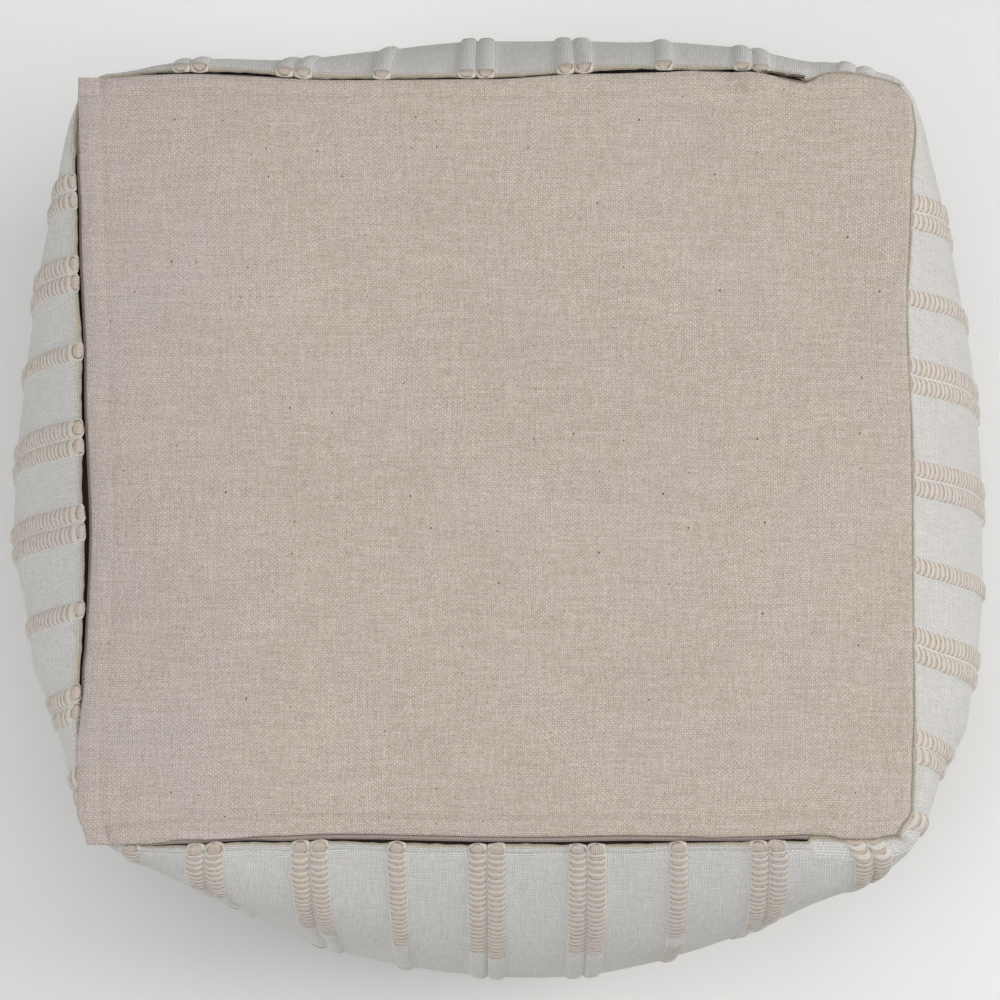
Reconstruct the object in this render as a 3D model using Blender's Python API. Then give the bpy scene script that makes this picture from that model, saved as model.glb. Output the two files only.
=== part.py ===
"""Cube pouf stool, lying upside down on its seat face with its base panel on top.

Metres, +Z up, floor at z = 0. Near is -Y, far is +Y, left is -X, right is +X.
Depth is measured downwards from the rim, where the side panels meet the base panel.
A side runs from u = -1 at its first corner to u = +1 at its last, anticlockwise from above.
"""
import math

import bmesh
import bpy
import numpy as np
from mathutils import Matrix, Vector

# ---------------------------------------------------------------- filled form
RIM_HEIGHT = 0.400            # floor to the folded top edges of the side panels
BELLY_DEPTH = 0.165           # how far below the rim the sides are widest
BELLY_CURVE = 2.6             # how round the sides are above the belly
SEAT_CURVE = 2.6              # how round they are below it
SEAT_SHARE = 0.10             # share of the bulge that is left at the floor
SEAM_DEPTH = 0.372            # depth of the seam between the sides and the seat
CORNER_FADE = 1.17            # how soon the square corners turn round below the rim
SEAT_CORNER_FADE = 1.5        # how late they turn squarer again towards the seat
NORMAL_STEP = 0.01            # share of a half side, over which the cloth's direction is measured
NORMAL_DROP = 0.002           # the same, down the side
RIM_FADE_DEPTH = 0.080        # depth over which the rim's unevenness fades out

# ---------------------------------------------------------------- base opening, cloth and seams
BASE_HALF_WIDTH = 0.2265      # left to right
BASE_HALF_DEPTH = 0.2115      # near to far
CLOTH = 0.0025                # side cloth
PIECE_GAP = 0.00035           # between pieces that touch
CORNER_SEAM = 0.0004          # each side panel stops this far from its corner
CANVAS = 0.0018               # base canvas
CANVAS_HEM = 0.0030           # base canvas where it is folded double
CANVAS_GROOVE = 0.0013        # base canvas under a row of stitches
HEM_ROUNDING = 0.0015         # width of the rounded edge of a hem
GROOVE_SIDE = 0.0028          # width of each side of a stitched groove
LEFT_HEM = 0.0130             # from the canvas edge to its row of stitches
NEAR_HEM = 0.0115
FAR_HEM = 0.0100
CANVAS_DROP = 0.0025          # underside of the canvas edge, below the rim
CANVAS_CROWN = 0.0035         # rise of the canvas from its edge to its middle
TAPE = 0.0012                 # zip tape
TAPE_GAP = 0.0003             # above and below the zip tape
TAPE_SPACE = TAPE + 2 * TAPE_GAP
CROWN_REACH = (0.24, 0.23)    # where the canvas crown would run out, left to right and near to far
CANVAS_WAVE = 0.0006          # height of the soft unevenness in the canvas
CANVAS_CORNER = (0.226, 0.210)   # nominal corner of the canvas, where it droops most

# ---------------------------------------------------------------- ribs in the side cloth
RIB_HEIGHT = 0.0019
RIB_HALF_WIDTH = 0.0050       # at the foot of one rib
RIB_HALF_CROWN = 0.0027       # flat part on top
PAIR_HALF_PITCH = 0.0052      # two ribs of a pair lie this far from their middle
PAIR_VALLEY = 0.0005          # height of the cloth between the two ribs of a pair

# side, outward direction, direction of growing u, reach at the rim, bulge
SIDES = (
    ("near", (0, -1), (1, 0), 0.2150, 0.0610),
    ("right", (1, 0), (0, 1), 0.2300, 0.0475),
    ("far", (0, 1), (-1, 0), 0.2155, 0.0395),
    ("left", (-1, 0), (0, -1), 0.2320, 0.0460),
)
NEAR, RIGHT, FAR, LEFT = range(4)

# corner after each side, power of its curve at the rim, the belly and the seat, droop of the canvas
CORNERS = (
    ("near to right", 34.0, 2.55, 2.4, 0.0000),
    ("right to far", 34.0, 2.35, 3.2, 0.0020),
    ("far to left", 30.0, 2.00, 3.0, 0.0010),
    ("left to near", 14.0, 2.00, 2.7, 0.0030),
)
DROOP_REACH = 0.075           # distance from the canvas corner at which its droop starts

# place along the side (world axis), reach of the canvas edge, reach of the side panel's fold, drop of
# the fold below the rim
EDGES = (
    ((-0.224, 0.2120, 0.2150, 0.0090), (-0.208, 0.2120, 0.2150, 0.0090), (-0.188, 0.2115, 0.2150, 0.0040),
     (-0.169, 0.2110, 0.2155, 0.0000), (-0.115, 0.2070, 0.2150, 0.0000), (0.000, 0.2090, 0.2150, 0.0000),
     (0.122, 0.2090, 0.2150, 0.0000), (0.172, 0.2065, 0.2145, 0.0000), (0.188, 0.2070, 0.2145, 0.0000),
     (0.197, 0.2090, 0.2150, 0.0000), (0.212, 0.2090, 0.2150, 0.0000), (0.225, 0.2070, 0.2145, 0.0000)),
    ((-0.212, 0.2170, 0.2275, 0.0000), (-0.197, 0.2250, 0.2295, 0.0000), (-0.168, 0.2260, 0.2295, 0.0005),
     (-0.143, 0.2270, 0.2275, 0.0040), (0.008, 0.2270, 0.2275, 0.0040), (0.079, 0.2250, 0.2260, 0.0040),
     (0.157, 0.2280, 0.2290, 0.0040), (0.187, 0.2305, 0.2315, 0.0060), (0.202, 0.2290, 0.2320, 0.0090),
     (0.213, 0.2210, 0.2320, 0.0090)),
    ((-0.232, 0.2125, 0.2160, 0.0085), (-0.208, 0.2125, 0.2165, 0.0085), (-0.187, 0.2140, 0.2180, 0.0035),
     (-0.171, 0.2145, 0.2185, 0.0005), (-0.082, 0.2110, 0.2140, 0.0000), (0.000, 0.2115, 0.2145, 0.0000),
     (0.054, 0.2145, 0.2180, 0.0000), (0.106, 0.2155, 0.2195, 0.0000), (0.143, 0.2145, 0.2200, 0.0000),
     (0.174, 0.2105, 0.2190, 0.0010), (0.190, 0.2150, 0.2185, 0.0040), (0.203, 0.2145, 0.2175, 0.0075),
     (0.214, 0.2120, 0.2165, 0.0090), (0.228, 0.2085, 0.2165, 0.0090)),
    ((-0.210, 0.2245, 0.2280, 0.0090), (-0.193, 0.2300, 0.2295, 0.0090), (-0.163, 0.2285, 0.2300, 0.0080),
     (-0.143, 0.2265, 0.2305, 0.0030), (-0.127, 0.2255, 0.2310, 0.0005), (-0.043, 0.2230, 0.2305, 0.0000),
     (0.043, 0.2265, 0.2315, 0.0000), (0.132, 0.2300, 0.2345, 0.0000), (0.167, 0.2315, 0.2365, 0.0010),
     (0.187, 0.2320, 0.2365, 0.0050), (0.200, 0.2325, 0.2360, 0.0085), (0.213, 0.2325, 0.2360, 0.0085)),
)

# middle of each stripe, measured along the side from its middle in the direction of u, and its ribs
STRIPES = (
    ((-0.2005, 1), (-0.1595, 2), (-0.1025, 2), (-0.0550, 1), (-0.0060, 2), (0.0485, 2),
     (0.0980, 1), (0.1470, 2), (0.2035, 2)),
    ((-0.1970, 1), (-0.1570, 2), (-0.1015, 2), (-0.0585, 1), (-0.0105, 2), (0.0460, 2),
     (0.0890, 1), (0.1370, 2)),
    ((-0.1985, 2), (-0.1405, 2), (-0.0920, 1), (-0.0425, 2), (0.0120, 2), (0.0645, 1),
     (0.1130, 2), (0.1705, 2)),
    ((-0.1485, 2), (-0.1025, 2), (-0.0590, 1), (-0.0115, 2), (0.0355, 2), (0.0835, 1),
     (0.1345, 2), (0.1785, 2)),
)

# depth of a row of points, height of the cloth there, share of the rib's height
OUTER_ROWS = (
    (0.0000, -0.0008, 0.15), (0.0013, 0.0010, 0.60), (0.0046, 0.0010, 0.60), (0.0062, -0.0007, 0.25),
    (0.0090, 0.0000, 1.00), (0.0300, 0.0000, 1.00), (0.0600, 0.0000, 1.00), (0.0950, 0.0000, 1.00),
    (0.1350, 0.0000, 1.00), (0.1800, 0.0000, 1.00), (0.2300, 0.0000, 1.00), (0.2800, 0.0000, 1.00),
    (0.3250, 0.0000, 1.00), (0.3550, 0.0000, 0.90), (SEAM_DEPTH, -0.0008, 0.40),
)
BODY_TOP_DEPTH = 0.0035       # depth at which the filled body turns in under the base panel
BACK_DEPTHS = (BODY_TOP_DEPTH, 0.009, 0.030, 0.060, 0.095, 0.135, 0.180, 0.230, 0.280, 0.325, 0.355,
               SEAM_DEPTH)
BACK_COLUMNS = 16             # columns on the back of a side panel

# height above the floor and inset from the seam for each ring of the seat's rounded edge
SEAT_RINGS = ((0.0270, -0.0022), (0.0220, -0.0026), (0.0140, 0.0015), (0.0070, 0.0090), (0.0018, 0.0210),
              (0.0000, 0.0340))
# rings of the body's top: share of its outline, distance below the canvas
TOP_RINGS = ((0.984, 0.0045), (0.960, TAPE_SPACE), (0.885, TAPE_SPACE), (0.60, 0.0006), (0.30, 0.0004))

# bearing from +X, depth, half-width in degrees, half-depth, amount: soft swells and hollows
SWELLS = (
    (12.0, 0.120, 10.0, 0.100, -0.0020),
    (64.0, 0.060, 14.0, 0.080, 0.0034),
    (109.0, 0.050, 11.0, 0.080, -0.0030),
    (119.0, 0.060, 5.0, 0.080, -0.0045),
    (141.0, 0.050, 3.5, 0.080, -0.0035),
    (155.0, 0.060, 7.0, 0.080, 0.0034),
    (175.0, 0.120, 9.0, 0.100, -0.0020),
    (203.0, 0.080, 4.0, 0.090, 0.0034),
    (212.0, 0.040, 6.0, 0.060, -0.0024),
    (233.0, 0.100, 8.0, 0.160, 0.0034),
    (276.0, 0.200, 9.0, 0.110, 0.0020),
    (286.0, 0.130, 5.0, 0.022, -0.0022),
    (297.0, 0.190, 8.0, 0.100, -0.0024),
    (313.0, 0.080, 4.0, 0.090, 0.0032),
    (322.0, 0.040, 7.0, 0.070, -0.0028),
    (331.0, 0.080, 3.5, 0.090, 0.0042),
    (338.0, 0.090, 9.0, 0.100, 0.0032),
)

# ---------------------------------------------------------------- zip
ZIP_X = 0.1436                # slider's middle, along the far edge
SLIDER_LENGTH = 0.0090
SLIDER_WIDTH = 0.0062
SLIDER_BODY = 0.0018          # thickness of its flat body
SLIDER_BRIDGE = 0.0012        # height of the bridge on top of it
SLIDER_BRIDGE_INSET = 0.0016
SLIDER_NOSE_SHARE = 0.72      # width of its narrow end, as a share of its wide end
SLIDER_LIFT = 0.0050          # the canvas hem rides up this far over the slider
SLIDER_LIFT_SPREAD = 0.012
LIFT_STEPS = (-0.016, -0.006, 0.006, 0.016)   # extra rows of points in the canvas there
SLIDER_INSET = 0.0022         # slider's middle, in from the canvas edge
PULL_LENGTH = 0.0225
PULL_HEIGHT = 0.0036
PULL_THICKNESS = 0.0013
PULL_ROUNDING = 0.0016        # radius of its four corners
PULL_Y = 0.2160               # middle of the pull, in the gap beside the canvas
TAPE_INSET = 0.0120           # tape edge that is hidden under the canvas
TAPE_END_X = 0.1715           # the tape's two ends, on the near and the far edge
TAPE_BACK = (0.0048, 0.0, 0.0044, 0.0064)   # tape's edge, in from the side panels' folds
TAPE_CORNER = 0.018           # how far the tape's turn at a corner reaches along each edge


def eased(table, place, column):
    """Value of one column of a table at a place along it, eased from row to row."""
    if place <= table[0][0]:
        return table[0][column]
    for row, following in zip(table, table[1:]):
        if place <= following[0]:
            share = (place - row[0]) / (following[0] - row[0])
            share = share * share * (3 - 2 * share)
            return row[column] + share * (following[column] - row[column])
    return table[-1][column]


# ---------------------------------------------------------------- filled form
def belly(depth):
    """Share of the full bulge at a depth below the rim."""
    if depth < BELLY_DEPTH:
        return 1 - abs(1 - max(depth, 0.0) / BELLY_DEPTH) ** BELLY_CURVE
    below = (depth - BELLY_DEPTH) / (RIM_HEIGHT - BELLY_DEPTH)
    return 1 - (1 - SEAT_SHARE) * min(below, 1.0) ** SEAT_CURVE


def reach(side, depth):
    """Distance from the middle of the pouf to the middle of a side."""
    return SIDES[side][3] + SIDES[side][4] * belly(depth)


def corner_power(corner, depth):
    """How square a corner is in plan: 2 is round, a high power is a sharp corner."""
    rim_power, belly_power, seat_power = CORNERS[corner][1:4]
    if depth < BELLY_DEPTH:
        share = max(belly(depth), 0.0) ** CORNER_FADE
        return 1 / (1 / rim_power + (1 / belly_power - 1 / rim_power) * share)
    share = ((depth - BELLY_DEPTH) / (RIM_HEIGHT - BELLY_DEPTH)) ** SEAT_CORNER_FADE
    return belly_power + (seat_power - belly_power) * share


def section(side, u, depth):
    """Place along and out from the middle of the pouf, at an even step round the outline."""
    corner = side if u >= 0 else (side - 1) % 4
    neighbour = (side + 1) % 4 if u >= 0 else (side - 1) % 4
    power = corner_power(corner, depth)
    ratio = np.linspace(0, 1, 201)
    size = (1 + ratio ** power) ** (-1 / power)
    along = reach(neighbour, depth) * ratio * size
    out = reach(side, depth) * size
    length = np.concatenate(([0.0], np.cumsum(np.hypot(np.diff(along), np.diff(out)))))
    at = abs(u) * length[-1]
    return math.copysign(np.interp(at, length, along), u), np.interp(at, length, out), length[-1]


def swell(x, y, depth):
    """Soft unevenness of the filled form."""
    bearing = math.degrees(math.atan2(y, x))
    total = 0.0
    for middle, middle_depth, half_width, half_depth, amount in SWELLS:
        turn = (bearing - middle + 180) % 360 - 180
        total += amount * math.exp(-(turn / half_width) ** 2 - ((depth - middle_depth) / half_depth) ** 2)
    return total


def side_point(side, u, depth):
    """Point on the outer face of the side cloth, between its ribs."""
    outward = Vector(SIDES[side][1])
    direction = Vector(SIDES[side][2])
    along, out, _ = section(side, u, depth)
    fade = max(0.0, 1 - depth / RIM_FADE_DEPTH) ** 2
    world_along = along * (direction.x + direction.y)
    straight = 1 - u ** 8
    out += (eased(EDGES[side], world_along, 2) - SIDES[side][3]) * fade * straight
    flat = outward * out + direction * along
    flat += flat.normalized() * swell(flat.x, flat.y, depth) * (1 - fade)
    drop = eased(EDGES[side], world_along, 3)
    return Vector((flat.x, flat.y, RIM_HEIGHT - depth - drop * fade))


def round_corner(side, u):
    """The same place, counted on the next side where u runs past a corner."""
    if u > 1:
        return (side + 1) % 4, u - 2
    if u < -1:
        return (side - 1) % 4, u + 2
    return side, u


def side_normal(side, u, depth):
    """Outward direction of the side cloth."""
    step, drop = NORMAL_STEP, NORMAL_DROP
    across = side_point(*round_corner(side, u + step), depth)
    across = across - side_point(*round_corner(side, u - step), depth)
    down = side_point(side, u, depth + drop) - side_point(side, u, max(depth - drop, 0))
    return down.cross(across).normalized()


# ---------------------------------------------------------------- base panel's lie
def base_height(x, y):
    """Underside of the base canvas."""
    crown = CANVAS_CROWN * (1 - (x / CROWN_REACH[0]) ** 2) * (1 - (y / CROWN_REACH[1]) ** 2)
    crown += CANVAS_WAVE * math.sin(9 * x + 5 * y) * math.cos(7 * y - 2 * x)
    height = RIM_HEIGHT - CANVAS_DROP + crown
    for corner, (x_sign, y_sign) in enumerate(((1, -1), (1, 1), (-1, 1), (-1, -1))):
        away = math.hypot(x - x_sign * CANVAS_CORNER[0], y - y_sign * CANVAS_CORNER[1])
        share = max(0.0, 1 - away / DROOP_REACH)
        height -= CORNERS[corner][4] * share * share
    return height


def slider_lift(x, y):
    """Rise of the canvas hem where it rides over the zip slider."""
    slider_y = eased(EDGES[FAR], ZIP_X, 1) - SLIDER_INSET
    spread = ((x - ZIP_X) ** 2 + (y - slider_y) ** 2) / SLIDER_LIFT_SPREAD ** 2
    return SLIDER_LIFT * math.exp(-spread ** 2)


# ---------------------------------------------------------------- mesh helpers
def grid(bm, columns, rows, place):
    """Bend a flat grid so that its point (i, j) lies at place(columns[i], rows[j])."""
    made = bmesh.ops.create_grid(bm, x_segments=len(columns) - 1, y_segments=len(rows) - 1, size=1.0)
    points = {}
    for vert in made["verts"]:
        i = round((vert.co.x + 1) / 2 * (len(columns) - 1))
        j = round((vert.co.y + 1) / 2 * (len(rows) - 1))
        points[i, j] = vert
    for (i, j), vert in points.items():
        vert.co = place(columns[i], rows[j])
    quads = [face for face in bm.faces if len(face.verts) == 4]
    bmesh.ops.triangulate(bm, faces=quads, quad_method="FIXED")
    return points


def chain(points, column=None, row=None):
    """Edges along one column or one row of a grid, in order."""
    picked = [key for key in sorted(points) if key[0] == column or key[1] == row]
    picked = [points[key] for key in picked]
    return [edge for first, second in zip(picked, picked[1:])
            for edge in first.link_edges if edge.other_vert(first) is second]


def join_borders(bm, front, back):
    """Close the edge of a sheet between its front and its back grid."""
    front_end = max(front)
    back_end = max(back)
    for side_front, side_back in (
        (chain(front, column=0), chain(back, column=0)),
        (chain(front, column=front_end[0]), chain(back, column=back_end[0])),
        (chain(front, row=0), chain(back, row=0)),
        (chain(front, row=front_end[1]), chain(back, row=back_end[1])),
    ):
        bmesh.ops.bridge_loops(bm, edges=side_front + side_back)


def finish(bm, name, surface):
    """Make the closed mesh an object of its own."""
    bmesh.ops.recalc_face_normals(bm, faces=bm.faces)
    mesh = bpy.data.meshes.new(name)
    bm.to_mesh(mesh)
    bm.free()
    mesh.materials.append(surface)
    mesh.shade_smooth()
    mesh.set_sharp_from_angle(angle=math.radians(40))
    piece = bpy.data.objects.new(name, mesh)
    bpy.context.scene.collection.objects.link(piece)
    return piece


def material(name, colour, roughness, metallic=0.0):
    """Plain material with the piece's colour."""
    made = bpy.data.materials.new(name)
    made.use_nodes = True
    shader = made.node_tree.nodes["Principled BSDF"]
    shader.inputs["Base Color"].default_value = (*colour, 1.0)
    shader.inputs["Roughness"].default_value = roughness
    shader.inputs["Metallic"].default_value = metallic
    return made


# ---------------------------------------------------------------- side panels
def rib_columns(side):
    """Columns of points across a side panel as (u, rib height), one group for each stripe."""
    columns = []
    previous_end = None
    for middle, ribs in STRIPES[side]:
        half = RIB_HALF_WIDTH + (PAIR_HALF_PITCH if ribs == 2 else 0)
        if previous_end is not None:
            columns.append(((previous_end + middle - half) / 2, 0.0))
        offsets = (-PAIR_HALF_PITCH, PAIR_HALF_PITCH) if ribs == 2 else (0.0,)
        columns.append((middle - half, 0.0))
        for number, offset in enumerate(offsets):
            if number:
                columns.append((middle, PAIR_VALLEY))
            columns.append((middle + offset - RIB_HALF_CROWN, RIB_HEIGHT))
            columns.append((middle + offset + RIB_HALF_CROWN, RIB_HEIGHT))
        columns.append((middle + half, 0.0))
        previous_end = middle + half
    half_lengths = {sign: section(side, sign, 0.0)[2] for sign in (-1, 1)}
    scaled = [(place / half_lengths[1 if place >= 0 else -1], height) for place, height in columns]
    first = -1 + CORNER_SEAM / half_lengths[-1]
    last = 1 - CORNER_SEAM / half_lengths[1]
    lead = (first + scaled[0][0]) / 2
    trail = (last + scaled[-1][0]) / 2
    return [(first, 0.0), (lead, 0.0)] + scaled + [(trail, 0.0), (last, 0.0)]


def back_columns(side):
    """Columns on the back of a side panel, which the filled body shares."""
    half_lengths = [section(side, sign, 0.0)[2] for sign in (-1, 1)]
    ends = (-1 + CORNER_SEAM / half_lengths[0], 1 - CORNER_SEAM / half_lengths[1])
    return [float(u) for u in np.linspace(*ends, BACK_COLUMNS)]


def cloth_point(side, u, depth, offset):
    """Point at an offset from the outer face of the side cloth."""
    return side_point(side, u, depth) + side_normal(side, u, depth) * offset


def side_panel(side, cloth):
    """One side panel: its folded top edge, its raised ribs and its seam at the seat."""
    bm = bmesh.new()
    front = grid(bm, rib_columns(side), OUTER_ROWS,
                 lambda column, row: cloth_point(side, column[0], row[0], row[1] + column[1] * row[2]))
    back = grid(bm, back_columns(side), (0.0,) + BACK_DEPTHS,
                lambda u, depth: cloth_point(side, u, depth, -CLOTH))
    join_borders(bm, front, back)
    return finish(bm, "side_panel_" + SIDES[side][0], cloth)


# ---------------------------------------------------------------- filled seat body
def open_ring(bm, top):
    """Edges of the mesh's open border, at its top or at its bottom."""
    border = [edge for edge in bm.edges if edge.is_boundary]
    return [edge for edge in border if (edge.verts[0].co.z > RIM_HEIGHT / 2) == top]


def grow_ring(bm, ring, place):
    """Extrude a ring of edges once, move the new points, and return the new ring."""
    made = bmesh.ops.extrude_edge_only(bm, edges=ring)
    for part in made["geom"]:
        if isinstance(part, bmesh.types.BMVert):
            part.co = place(part.co)
    return [part for part in made["geom"] if isinstance(part, bmesh.types.BMEdge) and part.is_boundary]


def seat_body(cloth):
    """The filled body, with the rounded edge and the flat of the seat face it rests on."""
    bm = bmesh.new()
    columns = [back_columns(side) for side in range(4)]
    sides = [grid(bm, columns[side], BACK_DEPTHS,
                  lambda u, depth, side=side: cloth_point(side, u, depth, -CLOTH - PIECE_GAP))
             for side in range(4)]
    for side in range(4):
        last_chain = chain(sides[side], column=BACK_COLUMNS - 1)
        first_chain = chain(sides[(side + 1) % 4], column=0)
        bmesh.ops.bridge_loops(bm, edges=last_chain + first_chain)

    ring = open_ring(bm, top=False)
    previous_inset = 0.0
    for height, inset in SEAT_RINGS:
        step = inset - previous_inset

        def lower(co, height=height, step=step):
            flat = Vector((co.x, co.y))
            flat -= flat.normalized() * step
            return Vector((flat.x, flat.y, height))
        ring = grow_ring(bm, ring, lower)
        previous_inset = inset
    bmesh.ops.contextual_create(bm, geom=ring)

    ring = open_ring(bm, top=True)
    previous_share = 1.0
    for share, below in TOP_RINGS:
        factor = share / previous_share

        def inward(co, factor=factor, below=below):
            x, y = co.x * factor, co.y * factor
            return Vector((x, y, base_height(x, y) - below))
        ring = grow_ring(bm, ring, inward)
        previous_share = share
    cap = bmesh.ops.contextual_create(bm, geom=ring)
    poked = bmesh.ops.poke(bm, faces=cap["faces"])
    for vert in poked["verts"]:
        vert.co.z = base_height(vert.co.x, vert.co.y) - TOP_RINGS[-1][1]
    return finish(bm, "seat_body", cloth)


# ---------------------------------------------------------------- base panel
def canvas_steps(low_hem, high_hem, length, middle_steps, more=()):
    """Steps across the base panel as (share of its length, thickness): hems, stitch grooves, plain middle."""
    low = [(0.0, CANVAS), (HEM_ROUNDING, CANVAS_HEM), (low_hem - GROOVE_SIDE, CANVAS_HEM),
           (low_hem, CANVAS_GROOVE), (low_hem + GROOVE_SIDE, CANVAS)]
    high = [(length - high_hem - GROOVE_SIDE, CANVAS), (length - high_hem, CANVAS_GROOVE),
            (length - high_hem + GROOVE_SIDE, CANVAS_HEM), (length - HEM_ROUNDING, CANVAS_HEM),
            (length, CANVAS)]
    if high_hem == 0:
        high = [(length - GROOVE_SIDE, CANVAS), (length, CANVAS_GROOVE)]
    start, end = low[-1][0], high[0][0]
    middle = [(start + (end - start) * step / middle_steps, CANVAS) for step in range(1, middle_steps)]
    middle = sorted(middle + [(place, CANVAS) for place in more])
    return [(place / length, thickness) for place, thickness in low + middle + high]


def canvas_flat(a, b):
    """Place of the base panel's point a of the way from left to right and b of the way from near to far."""
    x_even = -BASE_HALF_WIDTH + 2 * BASE_HALF_WIDTH * a
    y_even = -BASE_HALF_DEPTH + 2 * BASE_HALF_DEPTH * b
    left, right = -eased(EDGES[LEFT], y_even, 1), eased(EDGES[RIGHT], y_even, 1)
    near, far = -eased(EDGES[NEAR], x_even, 1), eased(EDGES[FAR], x_even, 1)
    return left + (right - left) * a, near + (far - near) * b


def base_panel(canvas):
    """Natural canvas base, with folded hems on its near, left and far edges."""
    over_slider = [BASE_HALF_WIDTH + ZIP_X + step for step in LIFT_STEPS]
    across = canvas_steps(LEFT_HEM, 0.0, 2 * BASE_HALF_WIDTH, 13, over_slider)
    along = canvas_steps(NEAR_HEM, FAR_HEM, 2 * BASE_HALF_DEPTH, 12)

    def top(a, b):
        x, y = canvas_flat(a[0], b[0])
        thickness = min(a[1], b[1]) if min(a[1], b[1]) < CANVAS else max(a[1], b[1])
        return Vector((x, y, base_height(x, y) + slider_lift(x, y) + thickness))

    def underside(a, b):
        x, y = canvas_flat(a[0], b[0])
        return Vector((x, y, base_height(x, y) + slider_lift(x, y)))
    bm = bmesh.new()
    join_borders(bm, grid(bm, across, along, top), grid(bm, across, along, underside))
    return finish(bm, "base_panel", canvas)


# ---------------------------------------------------------------- zip
def tape_route():
    """Places on the zip's line with their outward directions, from the near edge round to the far edge."""
    near_x = np.linspace(TAPE_END_X, -BASE_HALF_WIDTH + 2 * TAPE_CORNER, 24)
    left_y = np.linspace(-BASE_HALF_DEPTH + 2 * TAPE_CORNER, BASE_HALF_DEPTH - 2 * TAPE_CORNER, 20)
    near_run = [(x, TAPE_BACK[NEAR] - eased(EDGES[NEAR], x, 2)) for x in near_x]
    left_run = [(TAPE_BACK[LEFT] - eased(EDGES[LEFT], y, 2), y) for y in left_y]
    far_run = [(x, eased(EDGES[FAR], x, 2) - TAPE_BACK[FAR]) for x in near_x[::-1]]
    return (near_run + corner_arc(near_run[-1], left_run[0], (-1, -1)) + left_run
            + corner_arc(left_run[-1], far_run[0], (-1, 1)) + far_run)


def corner_arc(start, end, signs):
    """Points round a corner of the zip, a quarter of an ellipse inside the canvas corner."""
    centre_x = start[0] if abs(start[0]) < abs(end[0]) else end[0]
    centre_y = end[1] if abs(end[1]) < abs(start[1]) else start[1]
    across = max(abs(start[0] - end[0]), 1e-6)
    along = max(abs(start[1] - end[1]), 1e-6)
    steps = 7
    starts_on_left = abs(start[0]) > abs(end[0])
    points = []
    for step in range(1, steps):
        turn = math.pi / 2 * step / steps
        if starts_on_left:
            turn = math.pi / 2 - turn
        x = centre_x + signs[0] * across * math.sin(turn)
        y = centre_y + signs[1] * along * math.cos(turn)
        points.append((x, y))
    return points


def zip_tape(tape):
    """Flat zip tape that shows between the canvas and the side panels' folds."""
    route = tape_route()
    count = len(route)
    stations = []
    for index, (x, y) in enumerate(route):
        before, after = route[max(index - 1, 0)], route[min(index + 1, count - 1)]
        heading = Vector((after[0] - before[0], after[1] - before[1])).normalized()
        stations.append((Vector((x, y)), Vector((heading.y, -heading.x))))
    if stations[0][1].y > 0:
        stations = [(place, -outward) for place, outward in stations]

    def top(station, inset):
        flat = station[0] - station[1] * inset
        return Vector((flat.x, flat.y, base_height(flat.x, flat.y) - TAPE_GAP))

    def underside(station, inset):
        return top(station, inset) - Vector((0, 0, TAPE))
    bm = bmesh.new()
    insets = (0.0, TAPE_INSET / 2, TAPE_INSET)
    join_borders(bm, grid(bm, stations, insets, top), grid(bm, stations, insets, underside))
    return finish(bm, "zip_tape", tape)


def zip_slider(metal):
    """Zip slider under the canvas hem: a flat body with a raised bridge for its pull."""
    bm = bmesh.new()
    bmesh.ops.create_cube(bm, size=1.0)
    slider_y = eased(EDGES[FAR], ZIP_X, 1) - SLIDER_INSET
    bmesh.ops.scale(bm, verts=bm.verts, vec=(SLIDER_LENGTH, SLIDER_WIDTH, SLIDER_BODY))
    nose = [vert for vert in bm.verts if vert.co.x < 0]
    bmesh.ops.scale(bm, verts=nose, vec=(1, SLIDER_NOSE_SHARE, 1))
    top_face = [face for face in bm.faces if face.normal.z > 0.9]
    bmesh.ops.inset_region(bm, faces=top_face, thickness=SLIDER_BRIDGE_INSET)
    bridge = bmesh.ops.extrude_face_region(bm, geom=top_face)
    raised = [part for part in bridge["geom"] if isinstance(part, bmesh.types.BMVert)]
    bmesh.ops.translate(bm, verts=raised, vec=(0, 0, SLIDER_BRIDGE))
    bmesh.ops.delete(bm, geom=top_face, context="FACES_ONLY")
    height = base_height(ZIP_X, slider_y) + SLIDER_BODY / 2 + PIECE_GAP
    bmesh.ops.translate(bm, verts=bm.verts, vec=(ZIP_X, slider_y, height))
    return finish(bm, "zip_slider", metal)


def zip_pull(metal):
    """Zip pull: a thin plate with rounded ends, standing on edge in the gap beside the canvas."""
    bm = bmesh.new()
    bmesh.ops.create_cube(bm, size=1.0)
    bmesh.ops.scale(bm, verts=bm.verts, vec=(PULL_LENGTH, PULL_THICKNESS, PULL_HEIGHT))
    ends = [edge for edge in bm.edges if edge.calc_length() < PULL_THICKNESS * 1.01]
    bmesh.ops.bevel(bm, geom=ends, offset=PULL_ROUNDING, segments=4, profile=0.5, affect="EDGES")
    middle_x = ZIP_X + SLIDER_LENGTH / 2 + PIECE_GAP + PULL_LENGTH / 2
    height = base_height(ZIP_X, PULL_Y) + PULL_HEIGHT / 2 + PIECE_GAP
    bmesh.ops.translate(bm, verts=bm.verts, vec=(middle_x, PULL_Y, height))
    return finish(bm, "zip_pull", metal)


# ---------------------------------------------------------------- the whole pouf
def centre_on_floor(pieces):
    """Move the pieces so that the middle of their box lies over the origin."""
    corners = [piece.data.vertices[index].co for piece in pieces for index in range(len(piece.data.vertices))]
    middle_x = (min(co.x for co in corners) + max(co.x for co in corners)) / 2
    middle_y = (min(co.y for co in corners) + max(co.y for co in corners)) / 2
    for piece in pieces:
        piece.data.transform(Matrix.Translation((-middle_x, -middle_y, 0)))
    print("moved by", round(-middle_x, 5), round(-middle_y, 5))


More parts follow.
